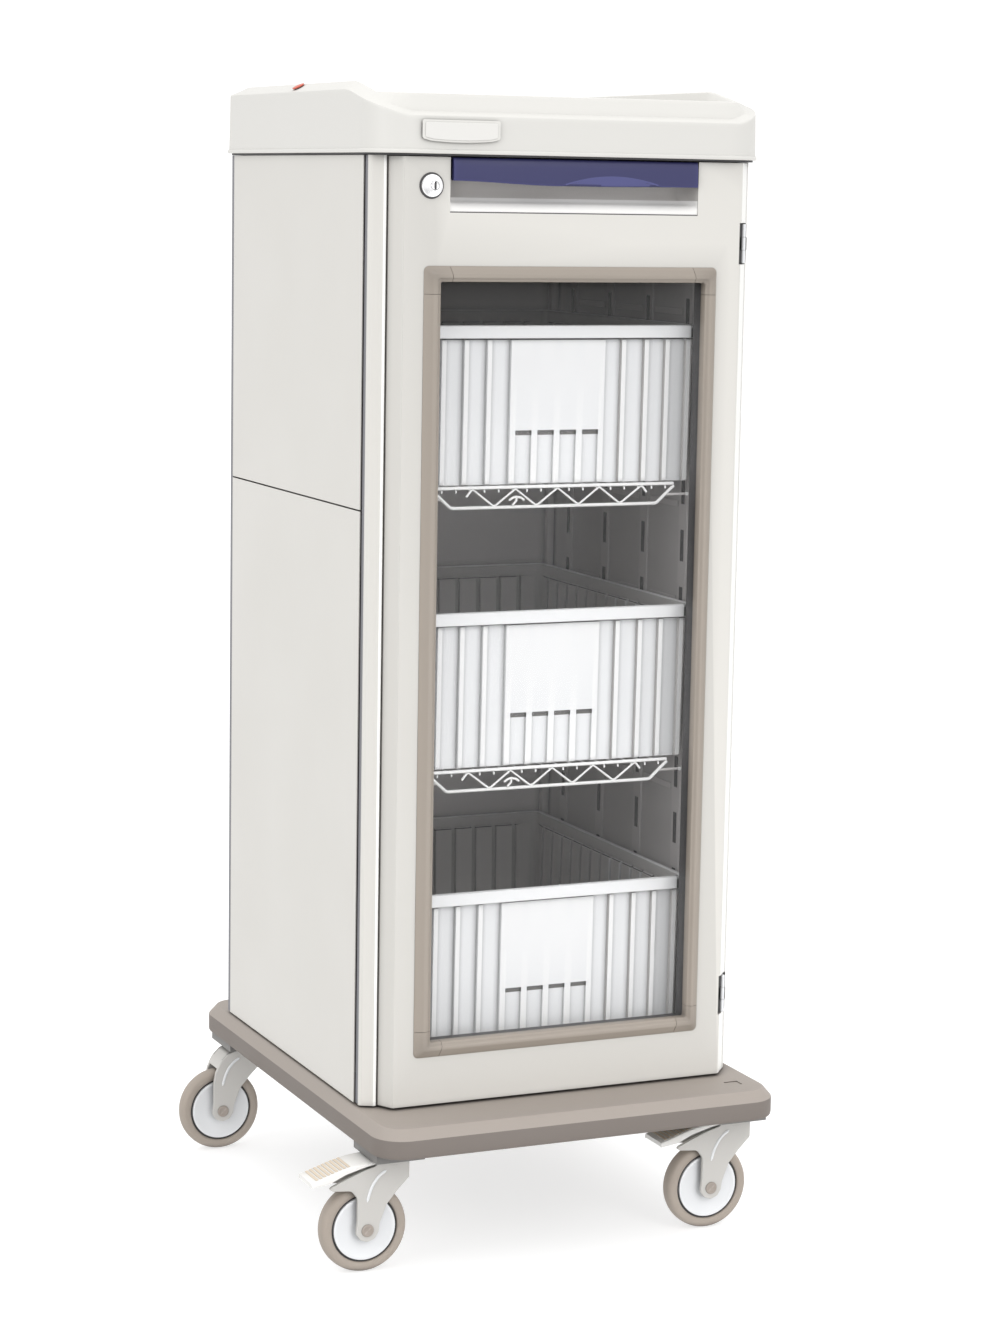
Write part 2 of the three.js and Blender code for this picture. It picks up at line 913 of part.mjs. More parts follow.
add("door_panel", doorPanel(), materials.body);
add("window_pane", windowPane(), materials.glazing);
for (const [word, zSide] of [["top", 1], ["bottom", -1]]) {
  add(`bezel_rail_${word}`, bezelRail(zSide), materials.bezel);
  add(`bezel_corner_${word}_left`, bezelCornerPiece(-1, zSide), materials.bezel);
  add(`bezel_corner_${word}_right`, bezelCornerPiece(1, zSide), materials.bezel);
}
add("bezel_stile_left", bezelStile(-1), materials.bezel);
add("bezel_stile_right", bezelStile(1), materials.bezel);
add("pocket_cup", pocketCup(), materials.body);
add("pull_handle", pullHandle(), materials.handle);
add("lock_body", lockBody(), materials.steel);
add("lock_plug", lockPlug(), materials.steel);
add("lock_cam", lockCam(), materials.steel);
for (const [word, middle] of [["upper", hingeUpper], ["lower", hingeLower]]) {
  add(`hinge_${word}_frame_leaf`, hingeFrameLeaf(middle), materials.steel);
  add(`hinge_${word}_door_leaf`, hingeDoorLeaf(middle), materials.steel);
}

["upper", "middle", "lower"].forEach((word, k) => {
  add(`shelf_${word}`, wireShelf(shelfTops[k]), materials.wire);
  add(`tote_${word}`, tote(shelfTops[k]), materials.tote);
});

["front_left", "front_right", "back_left", "back_right"].forEach((word, k) => {
  const [x, y] = casterPlaces()[k];
  const braked = k < 2;
  add(`caster_${word}_fork`, casterFork(x, y, braked), materials.fork);
  add(`caster_${word}_wheel`, casterWheel(x, y), materials.wheel);
  add(`caster_${word}_tyre`, casterTyre(x, y), materials.tyre);
  if (braked) add(`caster_${word}_pedal`, brakePedal(x, y), materials.pedal);
});

export default group;
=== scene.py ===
"""Medication cart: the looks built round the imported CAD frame. Metres, +Z up, door towards -Y."""
import math

import bmesh
import bpy
from mathutils import Matrix, Vector


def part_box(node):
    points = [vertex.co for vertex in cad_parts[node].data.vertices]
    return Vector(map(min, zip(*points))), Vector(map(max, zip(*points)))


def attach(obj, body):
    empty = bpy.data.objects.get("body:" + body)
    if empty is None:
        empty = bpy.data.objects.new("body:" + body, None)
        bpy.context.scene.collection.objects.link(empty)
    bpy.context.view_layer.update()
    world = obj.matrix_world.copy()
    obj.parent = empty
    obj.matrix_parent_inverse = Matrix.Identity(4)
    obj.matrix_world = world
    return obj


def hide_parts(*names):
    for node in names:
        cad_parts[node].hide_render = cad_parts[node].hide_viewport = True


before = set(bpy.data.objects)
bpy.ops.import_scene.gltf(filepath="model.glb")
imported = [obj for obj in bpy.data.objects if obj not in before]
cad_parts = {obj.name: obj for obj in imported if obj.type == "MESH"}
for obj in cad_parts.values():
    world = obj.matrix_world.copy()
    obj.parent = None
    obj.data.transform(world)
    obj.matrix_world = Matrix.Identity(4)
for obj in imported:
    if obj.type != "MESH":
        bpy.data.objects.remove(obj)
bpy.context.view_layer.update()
MM = 0.001
SHARP = 32  # degrees; a wider angle between two faces shows as an edge


# ---- camera

def linked(name, data):
    """A new object in the scene."""
    made = bpy.data.objects.new(name, data)
    bpy.context.scene.collection.objects.link(made)
    return made


def make_camera():
    """In front of the door and to its left, looking slightly down."""
    data = bpy.data.cameras.new("camera")
    data.lens = 86.7313
    data.sensor_width = 36
    camera = linked("camera", data)
    place = (-1.845735, -4.288021, 1.502541)
    turn, tilt, roll = math.radians(-23.94201), math.radians(8.466975), math.radians(0.989673)
    back = Vector((math.sin(turn) * math.cos(tilt), -math.cos(turn) * math.cos(tilt), math.sin(tilt)))
    across = (-back).cross(Vector((0, 0, 1))).normalized()
    up = across.cross(-back).normalized()
    right = across * math.cos(roll) + up * math.sin(roll)
    top = up * math.cos(roll) - across * math.sin(roll)
    camera.matrix_world = Matrix.Translation(place) @ Matrix((right, top, back)).transposed().to_4x4()
    bpy.context.scene.camera = camera


# ---- materials

def node(tree, kind, **values):
    """A shader node with the given input values set by name."""
    made = tree.nodes.new(kind)
    for key, value in values.items():
        made.inputs[key.replace("_", " ")].default_value = value
    return made


def noise(tree, coords, scale, detail):
    """A noise texture in object space; scale is in features per metre."""
    made = node(tree, "ShaderNodeTexNoise", Scale=scale, Detail=detail)
    tree.links.new(coords, made.inputs["Vector"])
    return made.outputs["Fac"]


def spread(tree, value, low, high, out_low, out_high):
    """Maps a value from one range to another, clamped."""
    made = tree.nodes.new("ShaderNodeMapRange")
    for key, number in zip(("From Min", "From Max", "To Min", "To Max"), (low, high, out_low, out_high)):
        made.inputs[key].default_value = number
    tree.links.new(value, made.inputs["Value"])
    return made.outputs["Result"]


def blend_colour(tree, factor, first, second):
    """Mixes two colours, each a tuple or a socket, by a factor socket."""
    made = tree.nodes.new("ShaderNodeMix")
    made.data_type = "RGBA"
    tree.links.new(factor, made.inputs["Factor"])
    for socket, colour in ((made.inputs[6], first), (made.inputs[7], second)):
        if isinstance(colour, bpy.types.NodeSocket):
            tree.links.new(colour, socket)
        else:
            socket.default_value = (*colour, 1)
    return made.outputs[2]


def new_surface(name, metal=0.0):
    """A material, its tree, its shader and its object coordinates."""
    material = bpy.data.materials.new(name)
    material.use_nodes = True
    tree = material.node_tree
    shader = tree.nodes["Principled BSDF"]
    shader.inputs["Metallic"].default_value = metal
    return material, tree, shader, tree.nodes.new("ShaderNodeTexCoord").outputs["Object"]


def set_rough(tree, shader, patches, low, high):
    """Roughness between two values, wandering with the patches."""
    tree.links.new(spread(tree, patches, 0.3, 0.7, low, high), shader.inputs["Roughness"])


def set_relief(tree, shader, height, strength, distance):
    """Fine relief from a height socket; the distance is in metres."""
    relief = node(tree, "ShaderNodeBump", Strength=strength, Distance=distance)
    tree.links.new(height, relief.inputs["Height"])
    tree.links.new(relief.outputs["Normal"], shader.inputs["Normal"])


def shade(colour, factor):
    return tuple(min(1.0, c * factor) for c in colour)


def finish(name, colour, rough, grain, bump, vary, edge_wear_and_highlight=1.2, crevice_shade=0.5, reach=0.012):
    """A moulded or coated surface: mottled colour, edges paled by wear and painted highlight, painted shade
    in crevices, fine grain.

    vary is the share by which the colour wanders; the next two factors multiply it on edges, paled by wear
    and painted highlight, and in crevices, darkened as painted shade; reach is how wide a crevice may be, in
    metres.
    """
    material, tree, shader, coords = new_surface(name)
    patches = noise(tree, coords, 7, 4)
    fine = noise(tree, coords, grain, 3)

    base = blend_colour(tree, patches, shade(colour, 1 - vary), shade(colour, 1 + vary))
    # painted highlight: edges found by pointiness are paled, standing both for wear and for light caught on
    # the edges
    edge = tree.nodes.new("ShaderNodeNewGeometry").outputs["Pointiness"]
    worn_and_lit = spread(tree, edge, 0.52, 0.6, 0.0, 1.0)
    base = blend_colour(tree, worn_and_lit, base, shade(colour, edge_wear_and_highlight))
    # painted shade: occlusion darkens crevices, recesses and faces close under other parts
    hidden = tree.nodes.new("ShaderNodeAmbientOcclusion")
    hidden.samples = 6
    hidden.inputs["Distance"].default_value = reach
    crevice = spread(tree, hidden.outputs["AO"], 0.2, 0.95, 1.0, 0.0)
    base = blend_colour(tree, crevice, base, shade(colour, crevice_shade))
    tree.links.new(base, shader.inputs["Base Color"])

    set_rough(tree, shader, patches, rough - 0.05, rough + 0.07)
    set_relief(tree, shader, fine, bump, 0.0004)
    return material


def brushed(name, colour, rough, stretch):
    """Metal with fine lines drawn along one direction."""
    material, tree, shader, coords = new_surface(name, metal=1.0)
    mapping = tree.nodes.new("ShaderNodeMapping")
    mapping.inputs["Scale"].default_value = stretch
    tree.links.new(coords, mapping.inputs["Vector"])
    lines = noise(tree, mapping.outputs["Vector"], 400, 4)
    patches = noise(tree, coords, 60, 3)
    base = blend_colour(tree, lines, shade(colour, 0.9), shade(colour, 1.06))
    tree.links.new(base, shader.inputs["Base Color"])
    set_rough(tree, shader, patches, rough - 0.04, rough + 0.1)
    set_relief(tree, shader, lines, 0.06, 0.0002)
    return material


def clear_pane(name):
    """Clear glazing with a faint haze that varies over the sheet."""
    material, tree, shader, coords = new_surface(name)
    haze = noise(tree, coords, 5, 3)
    set_rough(tree, shader, haze, 0.03, 0.08)
    tint = blend_colour(tree, haze, (0.4, 0.4, 0.4), (0.5, 0.5, 0.5))
    tree.links.new(tint, shader.inputs["Base Color"])
    shader.inputs["Alpha"].default_value = 0.06
    return material


# Coated and moulded surfaces: name, colour, roughness, grain per metre, its strength, mottling.
FINISHES = {
    "body": ("powder_coat", (0.575, 0.561, 0.53), 0.42, 1400, 0.1, 0.012),
    # painted highlight: a paler copy of the body colour for faces that catch the light
    "edge": ("edge_highlight_paint", (0.84, 0.835, 0.81), 0.42, 1400, 0.1, 0.01),
    "moulding": ("moulded_shell", (0.675, 0.665, 0.635), 0.46, 1700, 0.08, 0.012),
    "pocket": ("pocket_lip", (0.84, 0.83, 0.81), 0.46, 1700, 0.08, 0.01),
    # painted shade: the pocket's back wall as a darker copy of the lip colour, shaded under the pull
    "pocket_back_shaded": ("pocket_wall_shaded", (0.62, 0.595, 0.57), 0.5, 1700, 0.08, 0.02),
    "bumper": ("bumper_plastic", (0.34, 0.3, 0.268), 0.55, 1100, 0.22, 0.03),
    # painted shade: a darker copy of the bumper colour for its upright walls, which face away from the light
    "bumper_side": ("bumper_wall_shaded", (0.18, 0.155, 0.138), 0.6, 1100, 0.25, 0.03),
    "bezel": ("frame_plastic", (0.275, 0.24, 0.205), 0.42, 1500, 0.12, 0.03),
    "handle": ("grip_plastic", (0.024, 0.025, 0.104), 0.45, 1300, 0.14, 0.05),
    # painted highlight: a lighter copy of the grip colour for the thumb dish
    "dish": ("grip_dish_highlight", (0.07, 0.074, 0.215), 0.5, 1300, 0.14, 0.05),
    "tote": ("tote_plastic", (0.89, 0.90, 0.915), 0.5, 1200, 0.1, 0.01),
    # painted shade: a darker copy of the tote colour for its inner walls and floor
    "tote_inside": ("tote_inner_wall_shaded", (0.54, 0.525, 0.515), 0.6, 1200, 0.1, 0.03),
    "slot": ("slot_shadow", (0.16, 0.155, 0.15), 0.6, 1200, 0.1, 0.03),
    "wire": ("coated_wire", (0.84, 0.84, 0.83), 0.35, 1200, 0.08, 0.02),
    # painted shade: the inner walls take a darker colour for the shade inside the cabinet
    "liner": ("liner_sheet_shaded", (0.50, 0.48, 0.475), 0.6, 700, 0.2, 0.1),
    "seam": ("seal_rubber", (0.2, 0.2, 0.215), 0.65, 900, 0.2, 0.06),
    # dark paint of the chassis; on the hinge's frame leaves the same colour is painted shade
    "chassis": ("frame_paint_and_hinge_shade", (0.16, 0.155, 0.15), 0.5, 600, 0.25, 0.08),
    "badge": ("plain_plate", (0.70, 0.69, 0.665), 0.35, 1500, 0.05, 0.02),
    "marker": ("plain_dot", (0.60, 0.11, 0.065), 0.35, 1500, 0.08, 0.05),
    "tyre": ("tread_rubber", (0.36, 0.31, 0.265), 0.6, 800, 0.3, 0.06),
    # a dark fill: plain dark on the wheel band, window reveal and pocket joint; painted shade under the top,
    # in the liner slots, round and in the lock and on the door's hinge leaves
    "gap_ring": ("dark_rubber_and_shade_fill", (0.05, 0.048, 0.05), 0.6, 800, 0.2, 0.06),
    "wheel": ("wheel_plastic", (0.76, 0.77, 0.785), 0.4, 1300, 0.08, 0.02),
    "fork": ("housing_plastic", (0.53, 0.515, 0.49), 0.42, 1200, 0.12, 0.03),
    "cap": ("cap_plastic", (0.33, 0.285, 0.25), 0.45, 1200, 0.15, 0.04),
    "pedal": ("pedal_plastic", (0.76, 0.75, 0.725), 0.45, 1000, 0.15, 0.03),
    "tread": ("pedal_tread", (0.59, 0.505, 0.405), 0.65, 420, 0.6, 0.1),
}

# Surfaces whose paled edges (wear and painted highlight) and painted crevice shade differ from the usual.
PAINTED_EDGES_AND_CREVICES = {
    "pocket": {"crevice_shade": 0.8},
    "pocket_back_shaded": {"crevice_shade": 0.25, "reach": 0.03},
    "bezel": {"edge_wear_and_highlight": 1.3},
    "handle": {"edge_wear_and_highlight": 1.4},
    "tote": {"crevice_shade": 0.15, "reach": 0.009},
    "wire": {"reach": 0.004},
    "liner": {"edge_wear_and_highlight": 1.3},
}


def make_materials():
    made = {key: finish(*values, **PAINTED_EDGES_AND_CREVICES.get(key, {})) for key, values in FINISHES.items()}
    made["chrome"] = brushed("lock_chrome", (0.86, 0.86, 0.87), 0.14, (1, 1, 6))
    made["steel"] = brushed("plated_steel", (0.56, 0.56, 0.57), 0.28, (6, 6, 1))
    made["glazing"] = clear_pane("clear_glazing")
    return made


MATERIALS = make_materials()


# ---- mesh helpers

def millimetres(points):
    return [tuple(c * MM for c in p) for p in points]


def make_object(name, verts, faces, sharp=SHARP):
    """A shaded mesh object from points in metres."""
    mesh = bpy.data.meshes.new(name)
    mesh.from_pydata(verts, [], faces)
    work = bmesh.new()
    work.from_mesh(mesh)
    bmesh.ops.remove_doubles(work, verts=work.verts, dist=1e-6)
    bmesh.ops.recalc_face_normals(work, faces=work.faces)
    work.to_mesh(mesh)
    work.free()
    mesh.shade_smooth()
    mesh.set_sharp_from_angle(angle=math.radians(sharp))
    return linked(name, mesh)


def rounded(points, steps=5):
    """An outline of (u, v, radius) corners with each corner turned into an arc."""
    result = []
    for k, (u, v, radius) in enumerate(points):
        corner = Vector((u, v))
        if radius <= 0:
            result.append((u, v))
            continue
        before = Vector(points[k - 1][:2]) - corner
        after = Vector(points[(k + 1) % len(points)][:2]) - corner
        half = before.angle(after) / 2
        run = min(radius / math.tan(half), before.length * 0.49, after.length * 0.49)
        radius = run * math.tan(half)
        before.normalize()
        after.normalize()
        centre = corner + (before + after).normalized() * (radius / math.sin(half))
        start = corner + before * run - centre
        sweep = start.angle_signed(corner + after * run - centre)
        for step in range(steps + 1):
            turn = -sweep * step / steps
            c, s = math.cos(turn), math.sin(turn)
            result.append((centre.x + start.x * c - start.y * s, centre.y + start.x * s + start.y * c))
    return result


def placed(axis, u, v, w):
    """A point from outline coordinates u, v and the length w along the axis."""
    return {"X": (w, u, v), "Y": (u, w, v), "Z": (u, v, w)}[axis]


def prism(name, outline, axis, low, high, sharp=SHARP):
    """An outline in millimetres drawn out along an axis."""
    count = len(outline)
    verts = [placed(axis, u, v, low) for u, v in outline] + [placed(axis, u, v, high) for u, v in outline]
    faces = [tuple(range(count)), tuple(range(2 * count - 1, count - 1, -1))]
    faces += [(k, (k + 1) % count, (k + 1) % count + count, k + count) for k in range(count)]
    return make_object(name, millimetres(verts), faces, sharp)


def block(name, x, y, z):
    outline = [(x[0], y[0]), (x[1], y[0]), (x[1], y[1]), (x[0], y[1])]
    return prism(name, outline, "Z", z[0], z[1])


def bore_tool(radius, centre, low, high):
    """A round bar along Y for cutting a hole."""
    turns = [2 * math.pi * k / 32 for k in range(32)]
    outline = [(centre[0] + radius * math.cos(t), centre[2] + radius * math.sin(t)) for t in turns]
    return prism("bore", outline, "Y", low, high)


def loft(name, rings, closed=False, sharp=SHARP):
    """Rings of equal length joined in order; the ends are filled, or joined if closed."""
    count = len(rings[0])
    verts = [p for ring in rings for p in ring]
    faces = []
    spans = len(rings) if closed else len(rings) - 1
    for level in range(spans):
        a, b = level * count, ((level + 1) % len(rings)) * count
        for k in range(count):
            n = (k + 1) % count
            faces.append((a + k, a + n, b + n, b + k))
    if not closed:
        faces.append(tuple(range(count)))
        faces.append(tuple(range(len(verts) - 1, len(verts) - count - 1, -1)))
    return make_object(name, millimetres(verts), faces, sharp)


def lathe(name, profile, centre, axis="Y", steps=72, sharp=SHARP):
    """A closed profile of (radius, offset) turned about an axis through the centre."""
    rings = []
    for k in range(steps):
        turn = 2 * math.pi * k / steps
        c, s = math.cos(turn), math.sin(turn)
        ring = []
        for radius, offset in profile:
            p = {"Y": (radius * c, offset, radius * s), "Z": (radius * c, radius * s, offset)}[axis]
            ring.append(tuple(p[i] + centre[i] for i in range(3)))
        rings.append(ring)
    return loft(name, rings, closed=True, sharp=sharp)


def sweep(name, path, width, height, normal, steps=8):
    """A half-round bead of the given width and height along a path, standing up along the normal."""
    points = [Vector(p) for p in path]
    up = Vector(normal)
    rings = []
    for k, point in enumerate(points):
        along = (points[min(k + 1, len(points) - 1)] - points[max(k - 1, 0)]).normalized()
        side = along.cross(up).normalized()
        taper = 0.25 if k in (0, len(points) - 1) else 1.0
        ring = []
        for step in range(steps + 1):
            turn = math.pi * step / steps
            offset = side * math.cos(turn) * width / 2 + up * math.sin(turn) * height
            ring.append(tuple(point + offset * taper))
        ring.append(tuple(point - up * 0.5))
        rings.append(ring)
    return loft(name, rings, sharp=60)


def wires(name, lines, radius):
    """Round wires along lines of points, all in one curve."""
    data = bpy.data.curves.new(name, "CURVE")
    data.dimensions = "3D"
    data.bevel_depth = radius * MM
    data.bevel_resolution = 2
    data.use_fill_caps = True
    for line in lines:
        spline = data.splines.new("POLY")
        spline.points.add(len(line) - 1)
        for point, place in zip(spline.points, line):
            point.co = (*(c * MM for c in place), 1)
    return linked(name, data)


def cut(made, *tools):
    """Takes the tools out of a mesh object and leaves plain faces."""
    for tool in tools:
        modifier = made.modifiers.new("cut", "BOOLEAN")
        modifier.object = tool
        modifier.solver = "EXACT"
    settled(made)
    for tool in tools:
        bpy.data.objects.remove(tool)
    made.data.set_sharp_from_angle(angle=math.radians(SHARP))
    return made


def settled(made):
    """Turns an object's modifiers into its own mesh."""
    bpy.context.view_layer.update()
    result = bpy.data.meshes.new_from_object(made.evaluated_get(bpy.context.evaluated_depsgraph_get()))
    made.modifiers.clear()
    made.data = result


def joined(name, *parts):
    """One object made of several."""
    work = bmesh.new()
    for part in parts:
        work.from_mesh(part.data)
        bpy.data.objects.remove(part)
    mesh = bpy.data.meshes.new(name)
    work.to_mesh(mesh)
    work.free()
    return linked(name, mesh)


def soften(made, width, segments=2, angle=35):
    """Rounds the sharp edges of an object by a width in millimetres."""
    modifier = made.modifiers.new("soften", "BEVEL")
    modifier.width = width * MM
    modifier.segments = segments
    modifier.limit_method = "ANGLE"
    modifier.angle_limit = math.radians(angle)
    modifier.harden_normals = True
    return made


def piece(made, body, slot, material, *nodes):
    """Gives an object its material and its place in the frame."""
    made.data.materials.clear()
    made.data.materials.append(MATERIALS[material])
    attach(made, body)
    if nodes:
        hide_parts(*nodes)
    return made


def second_material(made, material, chosen):
    """Gives the faces picked by their centre (mm) and normal one more material."""
    made.data.materials.append(MATERIALS[material])
    for face in made.data.polygons:
        if chosen(face.center / MM, face.normal):
            face.material_index = len(made.data.materials) - 1


def carried(name, material, width=0.0):
    """A CAD node that stays, with a finished material and softened edges."""
    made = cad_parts[name]
    for slot in made.material_slots:
        slot.material = MATERIALS[material]
    if width:
        weld = made.modifiers.new("weld", "WELD")
        weld.merge_threshold = 1e-5
        soften(made, width)


def box(name):
    """Corners of a CAD node in millimetres."""
    low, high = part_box(name)
    return [c / MM for c in low], [c / MM for c in high]


def middle_of(name):
    """Middle of a CAD node in millimetres."""
    return [(a + b) / 2 for a, b in zip(*box(name))]


def moved(point, direction, distance):
    """A plan point shifted along a plan direction."""
    return point[0] + direction[0] * distance, point[1] + direction[1] * distance


def mirrored(points):
    """The points in reverse with their second value turned over."""
    return [(a, -b) for a, b in reversed(points)]


def smoothstep(t):
    t = max(0.0, min(1.0, t))
    return t * t * (3 - 2 * t)


def plan_ring(low, high, inset, radius, back_radius, corner_steps, runs):
    """A rounded rectangle inside a box's plan, anticlockwise, with points along its straight runs."""
    x, y = ((low[i] + inset, high[i] - inset) for i in (0, 1))
    arcs = [
        (x[1] - radius, y[0] + radius, radius, -90),
        (x[1] - back_radius, y[1] - back_radius, back_radius, 0),
        (x[0] + back_radius, y[1] - back_radius, back_radius, 90),
        (x[0] + radius, y[0] + radius, radius, 180),
    ]

    def on_arc(cx, cy, reach, degrees):
        turn = math.radians(degrees)
        return cx + reach * math.cos(turn), cy + reach * math.sin(turn)

    ring = []
    for k, (cx, cy, reach, start) in enumerate(arcs):
        for step in range(corner_steps + 1):
            ring.append(on_arc(cx, cy, reach, start + 90 * step / corner_steps))
        last, end = ring[-1], on_arc(*arcs[(k + 1) % 4])
        for part in range(1, runs):
            ring.append(tuple(a + (b - a) * part / runs for a, b in zip(last, end)))
    return ring


# ---- top and base

def make_top():
    """The moulded top: raised side rails, a low front shoulder and a flat deck."""
    low, high = box("moulded_top")
    middle = (low[0] + high[0]) / 2
    half = high[0] - middle
    bottom = low[2]
    front_crease, side_crease, rise, deck = bottom + 51, bottom + 86, 12, bottom + 77
    climb_start, climb_run = -44, 154
    front_radius, back_radius = 60, 5

    def crease(x, y):
        """High along both sides, dropping across the front corners."""
        along = ((y - low[1]) - (half - abs(x - middle)) - climb_start) / climb_run
        return front_crease + (side_crease - front_crease) * max(0.0, min(1.0, along))

    def level(inset, height):
        radius, back = front_radius - inset * 0.77, back_radius - inset * 0.03
        ring = plan_ring(low, high, inset, radius, back, 14, 26)
        return [(x, y, height(x, y)) for x, y in ring]

    def at(z):
        return lambda x, y: z

    def above_crease(z):
        return lambda x, y: crease(x, y) + z

    def shoulder(drop):
        return lambda x, y: max(crease(x, y) + rise, deck + 4) - drop

    skirt = [(8, 2), (6, 0), (1.2, 0), (0.3, 0.5), (0, 1.5), (0, 4.4), (0.6, 5.4), (1.6, 6), (1.8, 12)]
    slope = [(2.8, -6), (2.9, -1.6), (3.3, -0.4), (4.2, 0.4), (14, 5.6)]
    rings = [level(inset, at(bottom + z)) for inset, z in skirt]
    rings += [level(inset, above_crease(z)) for inset, z in slope]
    rings += [level(inset, shoulder(drop)) for inset, drop in ((23, 1.2), (25, 0.2), (27, 0.2), (29, 1.6))]
    rings += [level(inset, at(deck + z)) for inset, z in ((34, 1), (36, 0.2), (39, 0))]
    made = loft("top_shell", rings, sharp=28)
    piece(made, "cabinet", "moulding", "moulding", "moulded_top")
    # painted shade: a dark strip under the top's skirt stands for the shadow beneath it
    gasket = loft("top_shadow_strip", [level(5, at(bottom - 2.6)), level(5, at(bottom + 0.6))])
    piece(gasket, "cabinet", "seam", "gap_ring")
    carried("top_marker", "marker", 0.5)


def make_badge():
    """A plain raised plate with a bowed lower edge and a fine rim."""
    low, high = box("top_badge")
    middle = (low[0] + high[0]) / 2
    outline = [(low[0], high[2], 3), (low[0], low[2] + 5, 4)]
    for k in range(9):
        x = low[0] + 12 + (high[0] - low[0] - 24) * k / 8
        outline.append((x, low[2] + 2 * ((x - middle) / 45) ** 2, 0))
    outline += [(high[0], low[2] + 5, 4), (high[0], high[2], 3)]
    plate = soften(prism("badge_plate", rounded(outline), "Y", low[1] + 0.8, high[1]), 0.5)
    piece(plate, "cabinet", "badge", "moulding", "top_badge")
    inner = [(x * 0.93 + middle * 0.07, z * 0.8 + (low[2] + high[2]) * 0.1) for x, z in rounded(outline)]
    face = soften(prism("badge_face", inner, "Y", low[1], low[1] + 1.2), 0.3)
    piece(face, "cabinet", "badge", "badge")


def make_base():
    """The bumper base with its chamfered edge, and the chassis under it."""
    low, high = box("base_bumper")
    edge, top, corner = low[2] + 28, high[2], 45

    def level(inset, z):
        ring = plan_ring(low, high, inset, corner - inset, corner - inset, 12, 10)
        return [(x, y, z) for x, y in ring]

    side = [(8, 1), (5, 0), (1.5, 1.4), (0.4, 3.2), (0, 6)]
    chamfer = [(0, -1.5), (0.2, -0.4), (0.9, 0.7)]
    rings = [level(inset, low[2] + z) for inset, z in side]
    rings += [level(inset, edge + z) for inset, z in chamfer]
    rings += [level(inset, top - drop) for inset, drop in ((11.6, 1.2), (12.6, 0.3), (14, 0), (16, 0))]
    made = loft("base_shell", rings, sharp=28)
    groove = block("groove", (high[0] - 62, high[0] - 40), (low[1] + 48, low[1] + 66), (top - 1.2, top + 3))
    cut(made, groove)
    piece(made, "cabinet", "bumper", "bumper", "base_bumper")
    # painted shade: the upright faces of the bumper take the darker copy of its colour
    second_material(made, "bumper_side", lambda centre, normal: normal.z < 0.35)
    carried("chassis_frame", "chassis", 1.0)


# ---- cabinet shell

def make_shell():
    """Panels, posts, rails and the inner walls of the cabinet."""
    for side in ("left", "right"):
        carried(f"panel_{side}_upper", "body", 0.6)
        carried(f"panel_{side}_lower", "body", 0.6)
        carried(f"seam_strip_{side}", "seam", 0.5)
        carried(f"post_back_{side}", "seam", 0.8)
        make_post(side)
        make_side_liner(side)
    carried("panel_back", "body", 0.6)
    carried("liner_back", "liner", 0.5)
    back_low, back_high = box("liner_back")
    for sign in (-1, 1):
        wall = box("liner_right")[0][0] if sign > 0 else box("liner_left")[1][0]
        x = sorted((wall + sign * 0.5, wall - sign * 12))
        z = (back_low[2] + 1, back_high[2] - 1)
        channel = soften(block("corner_channel", x, (back_low[1] - 12, back_low[1] + 0.3), z), 1.5)
        piece(channel, "cabinet", "liner", "liner")
    carried("rail_header", "body", 0.8)
    carried("rail_sill", "body", 0.8)


def make_post(side):
    """Front corner post with a rounded nose beside the door."""
    low, high = box(f"post_front_{side}")
    sign = 1 if side == "right" else -1
    outer = high[0] if side == "right" else low[0]
    front, depth, width = low[1], high[1] - low[1], high[0] - low[0]

    if side == "right":
        profile = [
            (0, 9.5, 1), (3.2, 9.5, 0), (3.2, depth, 0), (width, depth, 0.8), (width, 15.2, 0.8),
            (7.1, 15.2, 1), (7.1, 1.4, 1), (6, 0, 1), (4.2, 1.5, 1.5), (1.7, 5.8, 3),
        ]
    else:
        profile = [
            (0, 14.5, 1.5), (9.6, 14.5, 0), (9.6, depth, 0), (width, depth, 0.8), (width, 20.2, 0.8),
            (25, 20.2, 1), (25, 2.4, 1.2), (23.4, 0, 1.8), (19.6, 0.4, 1.5), (15.5, 3.2, 4), (5, 8.2, 6),
        ]
    outline = [(outer - sign * inset, front + run, radius) for inset, run, radius in profile]
    made = prism(f"post_{side}", rounded(outline, 6), "Z", low[2], high[2])
    piece(made, "cabinet", "body", "body", f"post_front_{side}")
    # painted highlight: the post's narrow front nose takes the paler edge colour
    second_material(made, "edge", lambda centre, normal: normal.y < -0.9 and centre.y < front + 3)


def make_side_liner(side):
    """Inner wall with slotted uprights and shallow pressed ribs."""
    low, high = box(f"liner_{side}")
    sign = 1 if side == "right" else -1
    wall = high[0] if side == "right" else low[0]
    carried(f"liner_{side}", "liner", 0.5)
    face = wall - sign * 4.5
    uprights, slot_pitch, slot_height, rib_pitch = (219, 88, -43, -171), 84, 46, 140
    # painted shade: the slots of the uprights are thin dark blocks standing for their shadowed openings
    slot_shades = []
    for y in uprights:
        for row in range(15):
            z = low[2] + 70 + row * slot_pitch
            x = sorted((face - sign * 0.35, face + sign * 0.5))
            slot_shades.append(block("slot_shade", x, (y - 5, y + 5), (z, z + slot_height)))
    slots = joined(f"liner_slot_shades_{side}", *slot_shades)
    piece(slots, "cabinet", "liner", "gap_ring")
    ribs = []
    for row in range(9):
        z = low[2] + 120 + row * rib_pitch
        for a, b in ((low[1] + 8, -190), (-152, -62), (-24, 69), (107, 200)):
            x = sorted((wall - sign * 3.6, wall - sign * 2))
            ribs.append(block("rib", x, (a, b), (z, z + 9)))
    pressed = soften(joined(f"liner_ribs_{side}", *ribs), 0.7)
    piece(pressed, "cabinet", "liner", "liner")


# ---- door

